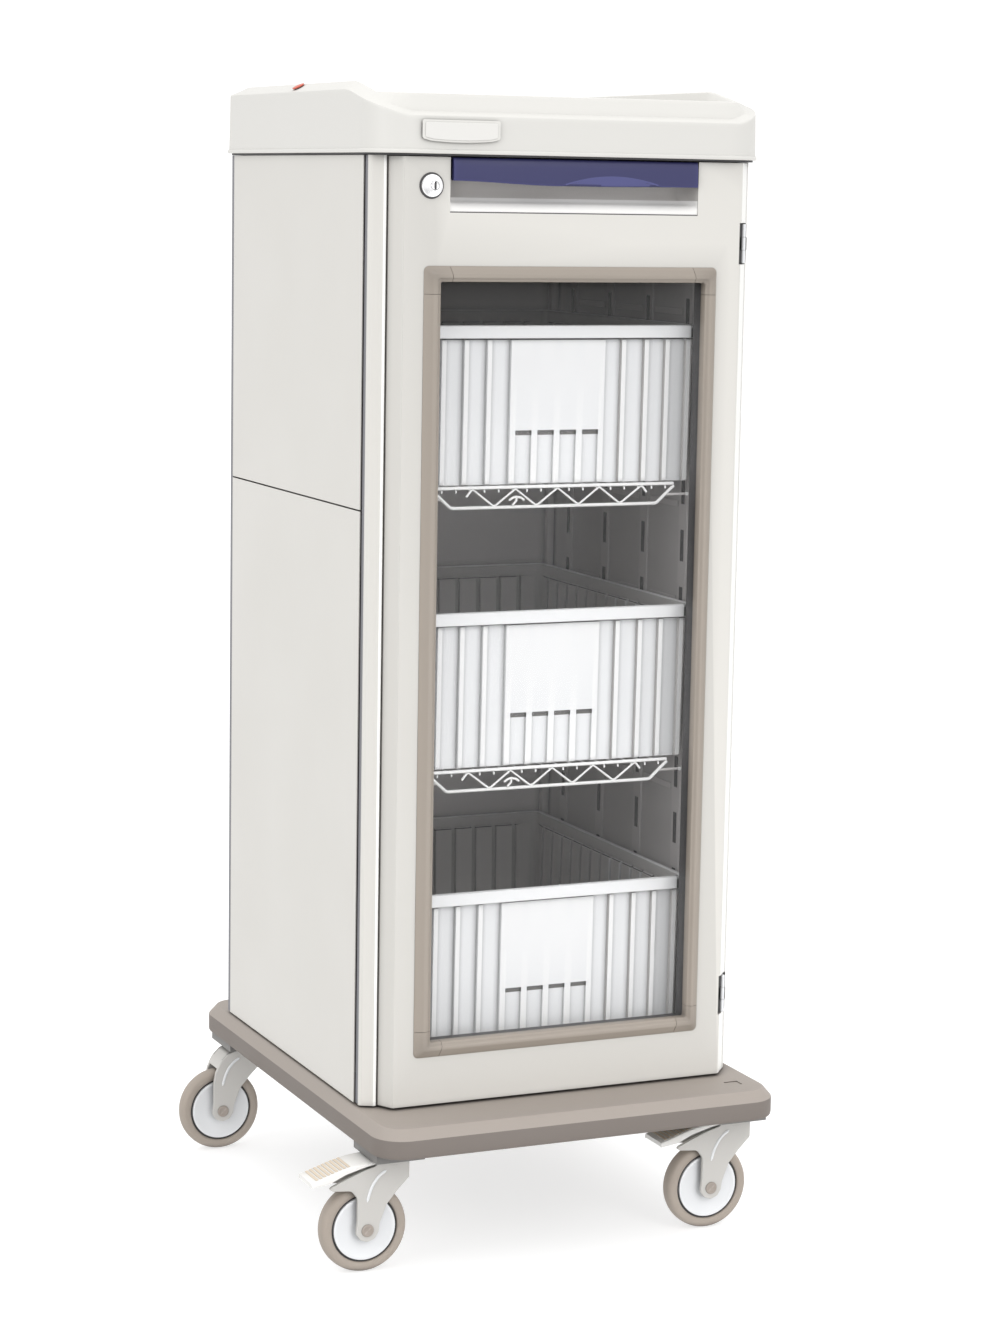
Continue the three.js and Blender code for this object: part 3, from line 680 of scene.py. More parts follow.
def make_door():
    """The bevelled door leaf and everything it carries."""
    low, high = box("door_panel")
    middle, flat, bevel = low[0] + 270, 257, 23.6
    gap, over = 0.3, 9
    front, back = low[1], high[1]
    outline = [
        (middle - flat, front, 3),
        (middle + flat, front, 3),
        (high[0], front + bevel, 4),
        (high[0], back - 5, 1),
        (high[0] - 5, back, 1),
        (low[0] + 5, back, 1),
        (low[0], back - 5, 1),
        (low[0], front + bevel, 5),
    ]
    made = prism("door_leaf", rounded(outline, 6), "Z", low[2], high[2])
    pane_low, pane_high = box("window_pane")
    cup_low, cup_high = box("pocket_cup")

    def hole(low_corner, high_corner):
        return block("hole", *zip(low_corner, high_corner))

    tools = [
        hole(
            (pane_low[0] - gap, front - over, pane_low[2] - gap),
            (pane_high[0] + gap, back + over, pane_high[2] + gap),
        ),
        hole(
            (cup_low[0] - gap, front - over, cup_low[2] - gap),
            (cup_high[0] + gap, cup_high[1] + gap, high[2] + over),
        ),
        bore_tool(10.8, middle_of("lock_body"), front - over, back + over),
    ]
    for x in (middle - flat, middle + flat):
        z = (low[2] - over, high[2] + over)
        tools.append(block("crease", (x - 0.5, x + 0.5), (front - 2, front + 0.45), z))
    for where in ("upper", "lower"):
        leaf_low, leaf_high = box(f"hinge_{where}_door_leaf")
        z = (leaf_low[2] - 1, leaf_high[2] + 1)
        tools.append(block("hole", (leaf_low[0] - gap, high[0] + over), (front - over, front + 18.6), z))
        tools.append(block("hole", (leaf_low[0] + 12.2, high[0] + over), (front + 13.6, back + over), z))
    soften(cut(made, *tools), 0.9)
    piece(made, "door", "body", "body", "door_panel")

    def on_bevel(centre, normal):
        return normal.x > 0.5 and normal.y < -0.3 and centre.x > middle + flat - 1

    # painted highlight: the door's right bevel takes the paler edge colour
    second_material(made, "edge", on_bevel)
    carried("window_pane", "glazing")
    x, z = (pane_low[0] - 0.25, pane_high[0] + 0.25), (pane_low[2] - 0.25, pane_high[2] + 0.25)
    y = (pane_high[1] + 0.3, back - 0.2)
    thick = 1.6
    reveal = joined(
        "window_reveal",
        block("side", (x[0], x[0] + thick), y, z), block("side", (x[1] - thick, x[1]), y, z),
        block("side", x, y, (z[0], z[0] + thick)), block("side", x, y, (z[1] - thick, z[1])),
    )
    piece(reveal, "door", "seam", "gap_ring")
    make_bezel()
    make_pocket()
    make_pull()
    make_lock()
    for where in ("upper", "lower"):
        make_hinge(where)


def make_hinge(where):
    """Folded leaves set into the door edge, dark as painted shade of the hinge slot, with a pale knuckle
    between them.
    """
    low, high = box(f"hinge_{where}_door_leaf")
    frame_low, frame_high = box(f"hinge_{where}_frame_leaf")
    x, y, z = high[0] - 5, low[1] + 8, (low[2] + high[2]) / 2
    split, end = 9.3, 27.4

    def barrel(foot, top):
        profile = [(2.2, foot), (2.7, foot), (3.1, foot + 0.5), (3.1, top - 0.5), (2.7, top), (2.2, top)]
        return lathe("barrel", profile, (x, y, z), "Z", 28)

    pin = lathe("pin", [(0.01, -27.6), (2.1, -27.6), (2.1, 27.6), (0.01, 27.6)], (x, y, z), "Z", 20)
    door_part = joined(f"hinge_{where}_knuckles", barrel(-end, -split), barrel(split, end), pin)
    piece(door_part, "door", "steel", "wheel", f"hinge_{where}_door_leaf")
    # painted shade: the door's leaves are dark to stand for the shadowed slot in front of the knuckle
    shade_plates = joined(
        f"hinge_{where}_door_shade_plate",
        block("plate", (low[0], low[0] + 1.6), (low[1], low[1] + 16.5), (low[2], high[2])),
        block("plate", (low[0], x - 2.4), (y - 0.8, y + 0.8), (low[2] + 0.5, z - split)),
        block("plate", (low[0], x - 2.4), (y - 0.8, y + 0.8), (z + split, high[2] - 0.5)),
        block("plate", (low[0], x + 1), (low[1] + 15, low[1] + 16.4), (low[2], high[2])),
    )
    piece(shade_plates, "door", "steel", "gap_ring")
    piece(barrel(-9, 9), "cabinet", "steel", "wheel", f"hinge_{where}_frame_leaf")
    tall = (frame_low[2], frame_high[2])
    # painted shade: the frame's leaves take the dark frame colour for the same shadowed slot
    shade_folds = soften(joined(
        f"hinge_{where}_frame_shade_plate",
        block("plate", (x + 2.2, x + 5), (y - 0.8, y + 17), (z - 8.8, z + 8.8)),
        block("plate", (x + 2.2, frame_high[0]), (y + 14, y + 17), tall),
        block("plate", (frame_high[0] - 3, frame_high[0]), (y + 14, frame_high[1]), tall),
    ), 0.3)
    piece(shade_folds, "cabinet", "steel", "chassis")


def make_bezel():
    """The window frame: four straight runs and four corner pieces of one two-step moulding."""
    stile_low, stile_high = box("bezel_stile_left")
    corner_low, corner_high = box("bezel_corner_bottom_left")
    far_high = box("bezel_corner_top_right")[1]
    front, depth = stile_low[1], stile_high[1]
    width, joint = 20, 0.35
    x = (corner_low[0] + width, far_high[0] - width)
    z = (corner_low[2] + width, far_high[2] - width)
    reach = corner_high[0] - corner_low[0] - width
    moulding = [
        (21.5, front + 5.1), (20.8, front + 4.2), (16.5, front + 2.1), (12.6, front + 0.7),
        (11.6, front + 0.2), (10.6, front), (7, front), (5.6, front + 0.3),
        (4.6, front + 1.4), (3.6, front + 2.4), (1.4, front + 3.2), (0.4, front + 3.9), (0, front + 5.2),
        (0, depth), (6.2, depth), (6.2, front + 5.1),
    ]

    def corner(sx, sz, turn):
        """Point function of a corner at an angle from 0 (on the stile side) to 90 (on the rail side)."""
        cx, cz = x[sx > 0], z[sz > 0]

        def point(offset, y):
            radius = 3 + 4 * offset / width
            c, s = math.cos(math.radians(turn)), math.sin(math.radians(turn))
            return (
                cx + sx * (offset - radius + radius * c), y,
                cz + sz * (offset - radius + radius * s),
            )
        return point

    def on_stile(sx, at):
        return lambda offset, y: (x[sx > 0] + sx * offset, y, at)

    def on_rail(sz, at):
        return lambda offset, y: (at, y, z[sz > 0] + sz * offset)

    def leaning(point, offset):
        return (point[0] - 0.26 * max(0.0, offset - 7), point[1], point[2])

    def run(name, stations, node_name):
        rings = [[leaning(station(offset, y), offset) for offset, y in moulding] for station in stations]
        made = loft(name, rings, sharp=40)
        piece(soften(made, 0.25, 1, 60), "door", "bezel", "bezel", node_name)

    for sz, word in ((1, "top"), (-1, "bottom")):
        stations = [on_rail(sz, x[0] + reach + joint), on_rail(sz, x[1] - reach - joint)]
        run(f"frame_rail_{word}", stations, f"bezel_rail_{word}")
        for sx, hand in ((-1, "left"), (1, "right")):
            stile_end, rail_end = z[sz > 0] - sz * reach, x[sx > 0] - sx * reach
            stations = [on_stile(sx, stile_end)]
            stations += [corner(sx, sz, turn) for turn in range(0, 91, 15)]
            stations += [on_rail(sz, rail_end)]
            run(f"frame_corner_{word}_{hand}", stations, f"bezel_corner_{word}_{hand}")
    for sx, hand in ((-1, "left"), (1, "right")):
        stations = [on_stile(sx, z[0] + reach + joint), on_stile(sx, z[1] - reach - joint)]
        run(f"frame_stile_{hand}", stations, f"bezel_stile_{hand}")


def make_pocket():
    """The finger pocket: a rounded lip, a ramped floor and a deep back wall with soft ends."""
    low, high = box("pocket_cup")
    front, back = low[1] + 0.4, high[1] - 2.5
    ramp, ramp_share, end_run = 15, 0.68, 17
    heights = [0, 1, 1.6, 2.4, 3.6, 5, 6.6, 8.4, 10.2, 12, 13.6, 15, 17, 20, 24, 30, 40, 55, high[2] - low[2]]

    def depth(rise):
        """Share of the full depth at a height above the lip's foot."""
        if rise < ramp:
            return ramp_share * (1 - math.sqrt(1 - min(1.0, max(0.0, rise - 1) / (ramp - 1)) ** 2))
        return ramp_share + (1 - ramp_share) * math.sin(min(1.0, (rise - ramp) / 15) * math.pi / 2)

    def end_share(run):
        return math.sqrt(max(0.0, 1 - (1 - min(1.0, run / end_run)) ** 2))

    width = high[0] - low[0]
    stops = [0, 0.6, 1.2, 2, 3, 4.5, 6.5, 9, 12, 15, 17.5]
    stops = stops + [width * k / 12 for k in range(1, 12)] + [width - s for s in reversed(stops)]
    columns = []
    for run in stops:
        share = end_share(min(run, width - run))
        inner = [
            (low[0] + run, front + (back - front) * depth(h) * share, low[2] + h) for h in heights
        ]
        outer = [(low[0] + run, high[1], high[2]), (low[0] + run, high[1], low[2])]
        columns.append(inner + outer)
    made = loft("pocket_shell", columns, sharp=50)
    piece(made, "door", "moulding", "pocket", "pocket_cup")
    deep = front + 0.86 * (back - front)

    def on_back(centre, normal):
        return centre.y > deep or (centre.z > low[2] + 20 and centre.y > front + 2)

    # painted shade: the deep back wall under the pull takes the darker copy of the lip colour
    second_material(made, "pocket_back_shaded", on_back)
    foot = block("pocket_foot", (low[0], high[0]), (front - 0.7, front + 4), (low[2] - 0.4, low[2] + 1.1))
    piece(foot, "door", "seam", "gap_ring")


def make_pull():
    """The grip: a hollow lip with a bowed lower edge and a lens-shaped thumb dish."""
    low, high = box("pull_handle")
    width = high[0] - low[0]
    front, top = low[1], high[2]
    dish_x, dish_half, dish_rise = low[0] + 238, 76, 13

    def lens_at(x):
        return max(0.0, 1 - ((x - dish_x) / dish_half) ** 2)

    def lip_at(x):
        """Height of the bowed lower edge."""
        t = (x - low[0]) / width
        return low[2] + 5.0 * (1 - smoothstep(t / 0.42)) + 1.2 * smoothstep((t - 0.6) / 0.4)

    rings = []
    for k in range(61):
        x = low[0] + width * k / 60
        lens, lip = lens_at(x), lip_at(x)
        dish_top = lip + dish_rise * lens
        outline = [
            (front + 2.6, top - 1.6), (front + 1.2, top - 5), (front + 0.3, top - 12),
            (front, dish_top + 4), (front + 0.05, dish_top + 1.5),
            (front + 0.3 + 1.2 * lens, dish_top - 1.5 * lens),
            (front + 0.4 + 2.2 * lens, lip + 5.5), (front + 1.1 + 2.2 * lens, lip + 3),
            (front + 2.6 + 1.6 * lens, lip + 1), (front + 5, lip), (front + 8.5, lip + 0.4),
            (front + 11, lip + 2.5), (front + 12.3, lip + 6), (front + 12.4, top - 9.5),
            (front + 14, top - 8), (high[1], top - 8), (high[1], top), (front + 6, top),
            (front + 4, top - 0.5),
        ]
        rings.append([(x, y, z) for y, z in outline])
    made = loft("pull_grip", rings, sharp=48)
    piece(made, "door", "handle", "handle", "pull_handle")

    def in_dish(centre, normal):
        lens, lip = lens_at(centre.x), lip_at(centre.x)
        return lens > 0.02 and centre.y < front + 4 and lip + 2 < centre.z < lip + 1 + dish_rise * lens

    # painted highlight: the dish faces take the lighter copy of the grip colour
    second_material(made, "dish", in_dish)


def make_lock():
    """A round body in the door and a plug that turns in it off its centre."""
    low, high = box("lock_body")
    x, _, z = middle_of("lock_body")
    centre = (x, 0, z)
    front = low[1]
    plug_low, plug_high = box("lock_plug")
    plug_x, plug_z, face = middle_of("lock_cam")[0], z, plug_low[1]
    ring = lathe(
        "lock_ring",
        [
            (0.01, front + 0.6), (11.5, front + 0.5), (13, front + 0.1), (14.2, front), (15.1, front + 0.5),
            (15.5, front + 1.4), (15.5, front + 3.6), (10.4, front + 3.7), (10.4, high[1]), (0.01, high[1]),
        ],
        centre, steps=48, sharp=40,
    )
    bore = bore_tool(6.3, (plug_x, 0, plug_z), front - 5, high[1] + 5)
    piece(soften(cut(ring, bore), 0.25), "door", "lock_chrome", "chrome", "lock_body")
    plug = lathe(
        "lock_face",
        [
            (0.01, face + 0.2), (4.6, face), (5.6, face + 0.3), (6, face + 1),
            (6, plug_high[1]), (0.01, plug_high[1]),
        ],
        (plug_x, 0, plug_z), steps=40, sharp=40,
    )
    slit = block("slit", (plug_x - 1.6, plug_x + 1.6), (face - 3, face + 8), (plug_z - 5.4, plug_z + 5.4))
    piece(soften(cut(plug, slit), 0.2), "lock_plug", "lock_chrome", "chrome", "lock_plug")
    # painted shadow: a dark ring round the lock stands for its shadow on the door
    shadow_profile = [(15.2, front + 2.4), (17.6, front + 3.2), (17.8, front + 3.9), (15.2, front + 3.9)]
    piece(lathe("lock_shadow_ring", shadow_profile, centre, steps=48), "door", "seam", "gap_ring")
    across, tall = (plug_x - 1.5, plug_x + 1.5), (plug_z - 5.3, plug_z + 5.3)
    # painted shade: a dark block inside the slit stands for the depth of the keyhole
    keyway_shade = block("keyway_shade", across, (face + 0.6, face + 7), tall)
    piece(keyway_shade, "lock_plug", "seam", "gap_ring")
    carried("lock_cam", "steel", 0.4)


# ---- shelves and totes

def make_shelf(where):
    """A wire shelf: trussed front and back, cross rods, a clip at the front and arms to the sides."""
    low, high = box(f"shelf_{where}")
    middle = (low[0] + high[0]) / 2
    half, arm_drop = 186.5, 18
    front, back = low[1] + 2.5, high[1] - 2.5

    def wire(*points):
        """A line of points, each by its run from the middle, its depth and its drop from the top."""
        return [(middle + run, y, high[2] - drop) for run, y, drop in points]

    heavy, light = [], []
    peaks = [-126, -61, 4, 69, 135]
    for y in (front, back):
        heavy.append(wire((-half, y, 2.5), (half, y, 2.5)))
        heel = [(half + 1, 6), (half - 3, 9), (half - 26, 29.5), (half - 30, 30.5)]
        left = [(-run, y, drop) for run, drop in heel]
        heavy.append(wire(*left, *((run, y, drop) for run, drop in reversed(heel))))
        zigzag = [(-136, y, 15), (peaks[0] - 3, y, 6.5)]
        for k, peak in enumerate(peaks):
            zigzag.append((peak, y, 5))
            if k + 1 < len(peaks):
                valley = (peak + peaks[k + 1]) / 2
                zigzag += [(valley - 2, y, 28), (valley + 2, y, 28)]
        zigzag += [(peaks[-1] + 3, y, 6.5), (144, y, 14)]
        light.append(wire(*zigzag))
    rods = []
    for k in range(17):
        x = (k - 8) * 21.7
        rods.append(wire(
            (x, front - 0.5, 9.5), (x, front - 0.2, 6.4), (x, front + 2, 4.6),
            (x, back - 2, 4.6), (x, back + 0.2, 6.4), (x, back + 0.5, 9.5),
        ))
    for k in range(3):
        y = front + (back - front) * (k + 1) / 4
        rods.append(wire((-half, y, 7.4), (half, y, 7.4)))
    near, nearer = front - 1, front - 1.6
    clip = [
        wire((-71, near, 21), (-66, nearer, 17.5), (-60, nearer, 16), (-53, nearer, 17.5), (-48, near, 21)),
        wire((-60, near, 17), (-60, near, 22), (-66, near, 28)),
    ]
    piece(wires(f"shelf_frame_{where}", heavy, 2.4), "cabinet", "wire", "wire", f"shelf_{where}")
    piece(wires(f"shelf_truss_{where}", light + clip, 1.7), "cabinet", "wire", "wire")
    piece(wires(f"shelf_rods_{where}", rods, 1.25), "cabinet", "wire", "wire")
    arms, pins = [], []
    for y in (front, back):
        for sign, edge in ((-1, low[0]), (1, high[0])):
            inner, x = sign * (half - 12), sign * 208
            arms.append(wire((inner, y, arm_drop), (edge - middle, y, arm_drop)))
            pins.append(wire((x, y - 2.4, arm_drop), (x, y - 1, arm_drop)))
    piece(wires(f"shelf_arms_{where}", arms, 1.9), "cabinet", "liner", "liner")
    piece(wires(f"shelf_pins_{where}", pins, 2.6), "cabinet", "wire", "wire")


SLOPE = 0.9  # run of the slanted side of a tote's ribs and notches


def tote_pattern(start, end, raised):
    """Places along a wall with how far each is sunk: raised ribs stand at 0, fields at 1."""
    places = [(start, 0.0)]
    for a, b in raised:
        places += [(a - SLOPE, 1.0), (a, 0.0), (b, 0.0), (b + SLOPE, 1.0)]
    return sorted(places) + [(end, 0.0)]


def make_tote(where):
    """A ribbed tote with a rolled rim, a plain label field and four open notches below it."""
    low, high = box(f"tote_{where}")
    middle, middle_y, _ = middle_of(f"tote_{where}")
    bottom, top = low[2], high[2]
    rim = 7
    x0, x1 = low[0] + rim, high[0] - rim
    y0, y1 = low[1] + rim, high[1] - rim
    radius, sink, slot_sink = 12, 6.0, 3.5
    rib_pitch, rib_width = 35, 6.5
    slots = [(-60.5, -35.5), (-26.5, -1.0), (8, 33.5), (43, 68)]

    def wall(kind, length):
        end = length / 2 - radius - 1
        if kind == "front":
            marks, label = [-206, -174, -140, -105, 102, 138, 171, 204], [(-69, 76)]
        else:
            count = int((length - 2 * radius - 20) // rib_pitch)
            marks, label = [(k - (count - 1) / 2) * rib_pitch - 3 for k in range(count)], []
        return tote_pattern(-end, end, [(mark, mark + rib_width) for mark in marks] + label)

    def base_points():
        """Ring of (point, outward direction, sink share, slot flag), anticlockwise from front left."""
        ring = []
        sides = [
            ("front", (middle, y0), (1, 0), (0, -1), x1 - x0),
            ("side", (x1, middle_y), (0, 1), (1, 0), y1 - y0),
            ("back", (middle, y1), (-1, 0), (0, 1), x1 - x0),
            ("side", (x0, middle_y), (0, -1), (-1, 0), y1 - y0),
        ]
        for kind, centre, along, out, length in sides:
            places = [(t, s, False) for t, s in wall(kind, length)]
            if kind == "front":
                for a, b in slots:
                    places += [(a, 0.0, False), (a + SLOPE, 0.0, True)]
                    places += [(b - SLOPE, 0.0, True), (b, 0.0, False)]
                places.sort(key=lambda p: p[0])
            for t, s, flag in places:
                ring.append((moved(centre, along, t), out, s, flag))
            corner = moved(moved(centre, along, length / 2 - radius), out, -radius)
            for step in range(9):
                turn = math.radians(90 * step / 8)
                facing = moved((out[0] * math.cos(turn), out[1] * math.cos(turn)), along, math.sin(turn))
                ring.append((moved(corner, facing, radius), facing, 0.0, False))
        return ring

    base = base_points()

    def level(offset, z, ribs, notches=False):
        ring = []
        for point, out, share, flag in base:
            sunk = max(share * ribs * sink, slot_sink if flag and notches else 0.0)
            ring.append((*moved(point, out, offset - sunk), z))
        return ring

    slot_top = bottom + 76
    under = top - 18
    foot = [
        (-6, bottom, 0.6), (-4, bottom + 1.5, 1), (-2.8, slot_top - 7, 1), (-2.7, slot_top - 0.4, 1),
    ]
    wall_and_rim = [
        (-2.7, slot_top, 1), (-0.7, under - 2.8, 1), (-3.4, under - 2.4, 1), (-3.4, under, 0.6),
        (6, under, 0), (7, under + 1, 0), (7, top - 4, 0), (6.2, top - 1.2, 0), (4, top, 0),
    ]
    inner_wall = [
        (-0.5, top, 0), (-2.2, top - 1, 0), (-3, top - 3, 0), (-3.2, under + 1, 0),
        (-4.3, under - 2, 0.9), (-8.5, bottom + 9, 0.9), (-11, bottom + 4, 0.7), (-14, bottom + 3, 0),
    ]
    rings = [level(*values, notches=True) for values in foot]
    rings += [level(*values) for values in wall_and_rim + inner_wall]
    made = loft(f"tote_shell_{where}", rings, sharp=36)
    piece(made, f"tote_{where}", "tote", "tote", f"tote_{where}")

    def inside(centre, normal):
        inward = (middle - centre.x) * normal.x + (middle_y - centre.y) * normal.y
        return centre.z < top - 1 and (inward > 20 or (normal.z > 0.8 and centre.z < top - 25))

    def slot_band(centre, normal):
        run = centre.x - middle
        outward = (centre.x - middle) * normal.x + (centre.y - middle_y) * normal.y
        if under - 2.6 < centre.z < under - 0.2 and outward > 0:
            return True
        return centre.y < y0 + 8 and slot_top - 7 < centre.z < slot_top and any(a < run < b for a, b in slots)

    # painted shade: the inner walls and floor take the darker copy of the tote colour
    second_material(made, "tote_inside", inside)
    second_material(made, "slot", slot_band)


# ---- casters

def fork_outline(braked):
    """Side outline of a fork cheek about the wheel centre, (u, v, radius)."""
    reach = [
        (-24, 59, 10), (-52, 61.5, 4), (-57, 65, 2), (-54, 68, 2), (-35, 76, 30),
        (-5, 87.5, 40), (11, 91.5, 4), (15, 96, 2),
    ]
    plain = [(-12, 62, 10), (-4, 79, 20), (8, 91, 12), (22, 96, 4)]
    return [
        (-15, 12, 8), (-15, 47, 10), *(reach if braked else plain),
        (62, 96, 2), (62, 71, 4), (43, 52, 10), (28, 34, 14), (18, 8, 10),
        (16.5, -4, 6), (11, -13, 8), (0, -17, 8), (-11, -13, 8), (-16.6, -4, 6),
    ]


def make_fork(where):
    """The housing: two cheeks, a head and a stem, with a pale ridge and a cap on each side."""
    high = box(f"caster_{where}_fork")[1]
    wx, y, wz = middle_of(f"caster_{where}_wheel")
    half, cheek_inside, cheek_outside = 22.6, 17, 23
    braked = "front" in where

    def put(points):
        return [(u + wx, v + wz, r) for u, v, r in points]

    cheek = rounded(put(fork_outline(braked)), 6)
    head = rounded(put([(22, 96, 0), (22, 74, 5), (30, 70, 6), (50, 69, 4), (61.5, 71, 4), (61.5, 96, 2)]), 4)
    parts = []
    for sign in (-1, 1):
        sides = sorted((y + sign * cheek_inside, y + sign * cheek_outside))
        parts.append(prism("cheek", cheek, "Y", *sides))
    parts.append(prism("head", head, "Y", y - half, y + half))
    parts.append(lathe("axle", [(0.01, -22), (4.6, -22), (4.6, 22), (0.01, 22)], (wx, y, wz), steps=20))
    stem_top = high[2] - wz
    parts.append(lathe(
        "stem", [(0.01, 92), (26, 92), (26, stem_top - 1), (24, stem_top), (0.01, stem_top)],
        (wx + 40, y, wz), "Z", 40,
    ))
    if not braked:
        crown = [
            (24, 96, 0), (22, 96, 4), (8, 91, 12), (-4, 79, 20), (-11, 66.5, 2), (0, 68, 20), (24, 73, 0),
        ]
        parts.append(prism("crown", rounded(put(crown), 6), "Y", y - half, y + half))
    made = soften(joined(f"caster_{where}_housing", *parts), 1.3, 3)
    piece(made, f"fork_{where}", "fork", "fork", f"caster_{where}_fork")

    beads = []
    for sign in (-1, 1):
        face = y + sign * cheek_outside
        path = []
        for k in range(17):
            t = k / 16
            u = 27 * (1 - t) ** 2 + 2 * 5 * t * (1 - t) - t * t
            v = 84 * (1 - t) ** 2 + 2 * 74 * t * (1 - t) + 41 * t * t
            path.append((wx + u, face, wz + v))
        beads.append(sweep("bead", path, 4.4, 1.5, (0, sign, 0)))
    ridge = joined(f"caster_{where}_ridge", *beads)
    piece(ridge, f"fork_{where}", "fork", "wheel")

    caps = []
    for sign in (-1, 1):
        profile = [(0.01, 22.4), (9, 22.4), (9, 23.8), (8.4, 24.6), (6.6, 24.9), (5.8, 24.5), (0.01, 24.4)]
        caps.append(lathe("cap", [(r, sign * h) for r, h in profile], (wx, y, wz), steps=40))
    piece(joined(f"caster_{where}_caps", *caps), f"fork_{where}", "fork", "cap")


def make_wheel(where):
    """A dished disc, the dark band round it and the tyre."""
    centre = middle_of(f"caster_{where}_wheel")
    half = [
        (5.1, 11.4), (12, 11.4), (14, 10.2), (17, 9.9), (38, 10.6),
        (41, 11.6), (44, 12), (45.6, 11.4), (46, 10),
    ]
    disc = lathe(f"caster_{where}_disc", half + mirrored(half), centre, steps=80, sharp=40)
    piece(disc, f"wheel_{where}", "wheel", "wheel", f"caster_{where}_wheel")
    band = [(45.5, 8.6), (48.9, 8.6), (48.9, -8.6), (45.5, -8.6)]
    ring = lathe(f"caster_{where}_band", band, centre, steps=80)
    piece(ring, f"wheel_{where}", "tyre", "gap_ring")
    tread = [
        (48.8, 10.6), (50, 12.1), (53, 12.8), (57.5, 12.8), (60.2, 11.6), (62, 9.4), (63.1, 6), (63.5, 2.5),
    ]
    tyre = lathe(f"caster_{where}_tread", tread + mirrored(tread), centre, steps=96, sharp=50)
    piece(tyre, f"wheel_{where}", "tyre", "tyre", f"caster_{where}_tyre")


def along(points, at):
    """Height of a line of (u, v) points, u descending, at a place between its ends."""
    for (u0, v0), (u1, v1) in zip(points, points[1:]):
        if at >= u1:
            return v0 + (v1 - v0) * (u0 - at) / (u0 - u1)
    return points[-1][1]


def make_pedal(where):
    """A hood over the fork with a ribbed tread on its sloping end."""
    low, high = box(f"caster_{where}_pedal")
    wx, _, wz = middle_of(f"caster_{where}_wheel")
    y = (low[1] + high[1]) / 2
    crest = [(12.5, 99), (4, 98.9), (-5, 98.2), (-15, 97.1), (-25, 95.5), (-41, 91.4), (-58, 86), (-85, 77.5)]
    hem = [(12.5, 96.2), (-5, 93), (-35, 85), (-58, 74.5), (-84.6, 71)]
    half, wall = (high[1] - low[1]) / 2, 2.9
    rings = []
    start, length, steps = 12.5, 97.3, 24
    for k in range(steps + 1):
        u = start - length * k / steps
        top, foot = along(crest, u), min(along(hem, u), along(crest, u) - 2.2)
        edge = [(foot, half), (top - 2, half), (top - 0.8, half - 0.7), (top, half - 2.4)]
        lining = [(top - wall, half - wall), (foot, half - wall)]
        section = edge + mirrored(edge) + mirrored(lining) + lining
        rings.append([(u + wx, y + across, v + wz) for v, across in section])
    hood = loft(f"caster_{where}_hood", rings, sharp=40)
    tip = [(-84.9, 77), (-84.4, 71.2), (-80, 71.6), (-80, 77)]
    lug = [(-8, 97, 0), (-8, 85, 2), (-3, 81, 2), (7, 81, 2), (11, 85, 2), (11, 97, 0)]
    parts = [
        hood,
        prism("tip", [(u + wx, v + wz) for u, v in tip], "Y", low[1] + 1, high[1] - 1),
        prism("lug", rounded([(u + wx, v + wz, r) for u, v, r in lug]), "Y", y - 11, y + 11),
    ]
    made = soften(joined(f"caster_{where}_lever", *parts), 0.5)
    piece(made, f"pedal_{where}", "pedal", "pedal", f"caster_{where}_pedal")
    ribs = []
    for k in range(9):
        u = -77 + k * 5.8
        bar = [(u + a, along(crest, u + a) + b) for a, b in ((0, -0.6), (3.6, -0.6), (3.6, 0.9), (0, 0.9))]
        ribs.append(prism("rib", [(a + wx, b + wz) for a, b in bar], "Y", y - 22.5, y + 22.5))
    pad = soften(joined(f"caster_{where}_pad", *ribs), 0.4)
    piece(pad, f"pedal_{where}", "pedal", "tread")


# ---- studio

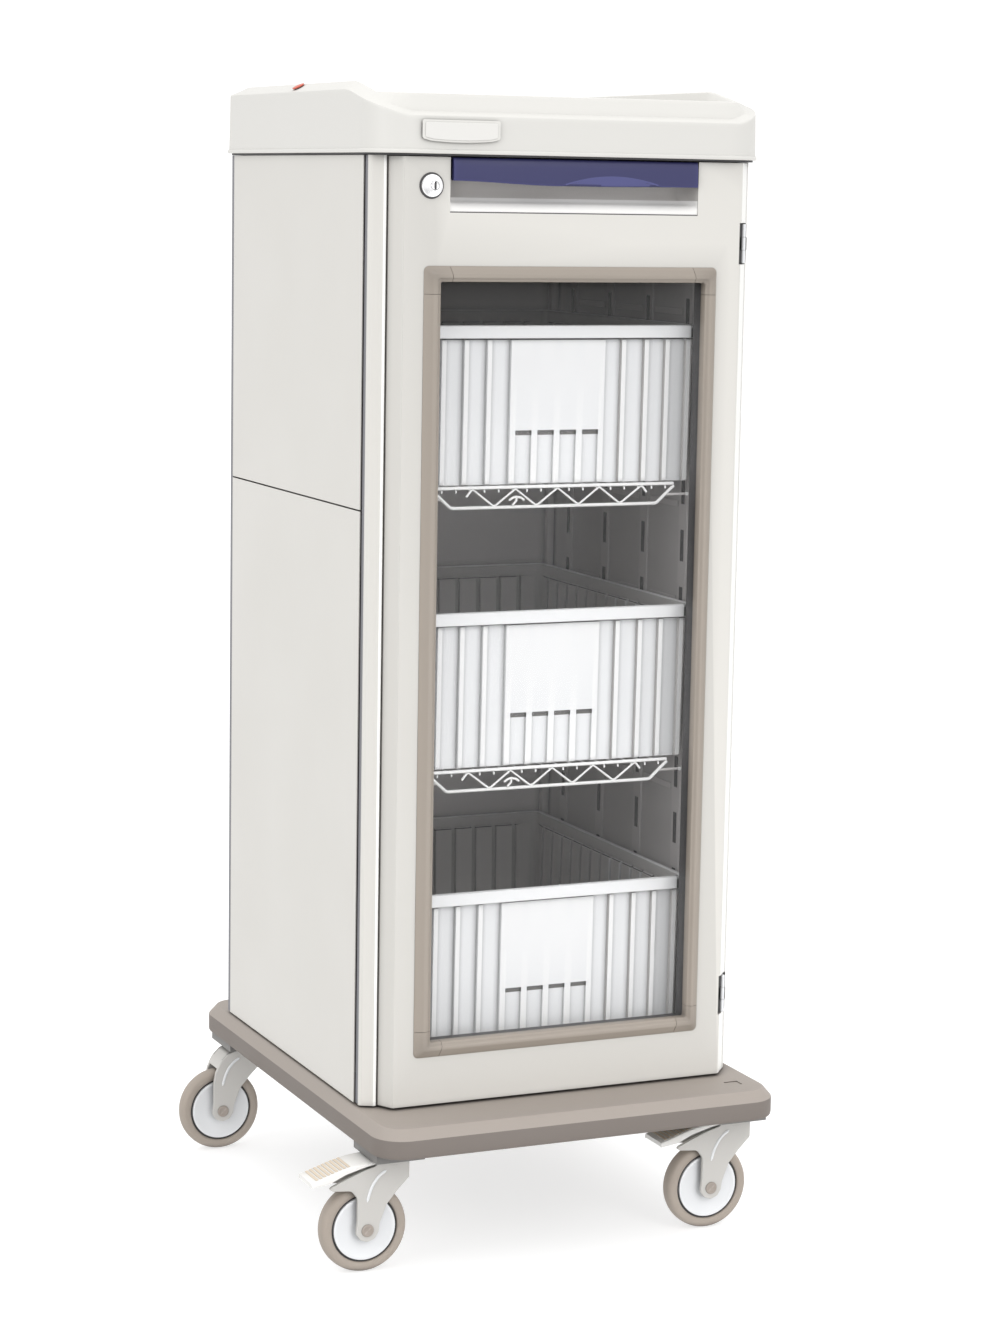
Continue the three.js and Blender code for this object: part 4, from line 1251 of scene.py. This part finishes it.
def make_studio():
    """Pale floor, white surroundings and large soft lights."""
    scene = bpy.context.scene
    scene.view_settings.view_transform = "Standard"
    world = bpy.data.worlds.new("surroundings")
    world.use_nodes = True
    tree = world.node_tree
    split = tree.nodes.new("ShaderNodeSeparateXYZ")
    tree.links.new(tree.nodes.new("ShaderNodeTexCoord").outputs["Generated"], split.inputs[0])
    ramp = tree.nodes.new("ShaderNodeValToRGB")
    tree.links.new(spread(tree, split.outputs["Z"], -1, 1, 0, 1), ramp.inputs["Fac"])
    ramp.color_ramp.elements[0].color = (0.5, 0.5, 0.5, 1)
    for place, grey in ((0.43, 0.5), (0.45, 0.75), (0.54, 0.75), (0.56, 0.45)):
        ramp.color_ramp.elements.new(place).color = (grey, grey, grey, 1)
    tree.links.new(ramp.outputs["Color"], tree.nodes["Background"].inputs["Color"])
    tree.nodes["Background"].inputs["Strength"].default_value = 1.6
    scene.world = world

    floor = make_object("floor", [(-30, -30, 0), (30, -30, 0), (30, 30, 0), (-30, 30, 0)], [(0, 1, 2, 3)])
    material = bpy.data.materials.new("floor")
    material.use_nodes = True
    pale = {"Base Color": (0.5, 0.5, 0.5, 1), "Roughness": 0.8, "Emission Color": (1, 1, 1, 1)}
    for key, value in (*pale.items(), ("Emission Strength", 0.62)):
        material.node_tree.nodes["Principled BSDF"].inputs[key].default_value = value
    floor.data.materials.append(material)
    floor.visible_diffuse = False

    def lamp(name, place, target, size, power, beam=180):
        data = bpy.data.lights.new(name, "AREA")
        data.spread = math.radians(beam)
        data.shape = "SQUARE"
        data.size = size
        data.energy = power
        made = linked(name, data)
        made.location = place
        made.rotation_euler = (Vector(target) - Vector(place)).to_track_quat("-Z", "Y").to_euler()

    lamp("key", (0.9, -4.6, 3.4), (0, -0.2, 0.85), size=1.8, power=38)
    lamp("fill", (-4.4, -1.6, 2.4), (0, 0, 0.8), size=2.5, power=37)
    lamp("low", (1.0, -3.4, 0.45), (0, -0.35, 0.15), size=1.0, power=1.5, beam=50)


# ---- build

def build():
    make_camera()
    make_top()
    make_badge()
    make_base()
    make_shell()
    make_door()
    for where in ("upper", "middle", "lower"):
        make_shelf(where)
        make_tote(where)
    for where in ("front_left", "front_right", "back_left", "back_right"):
        make_fork(where)
        make_wheel(where)
        if "front" in where:
            make_pedal(where)
    make_studio()


build()
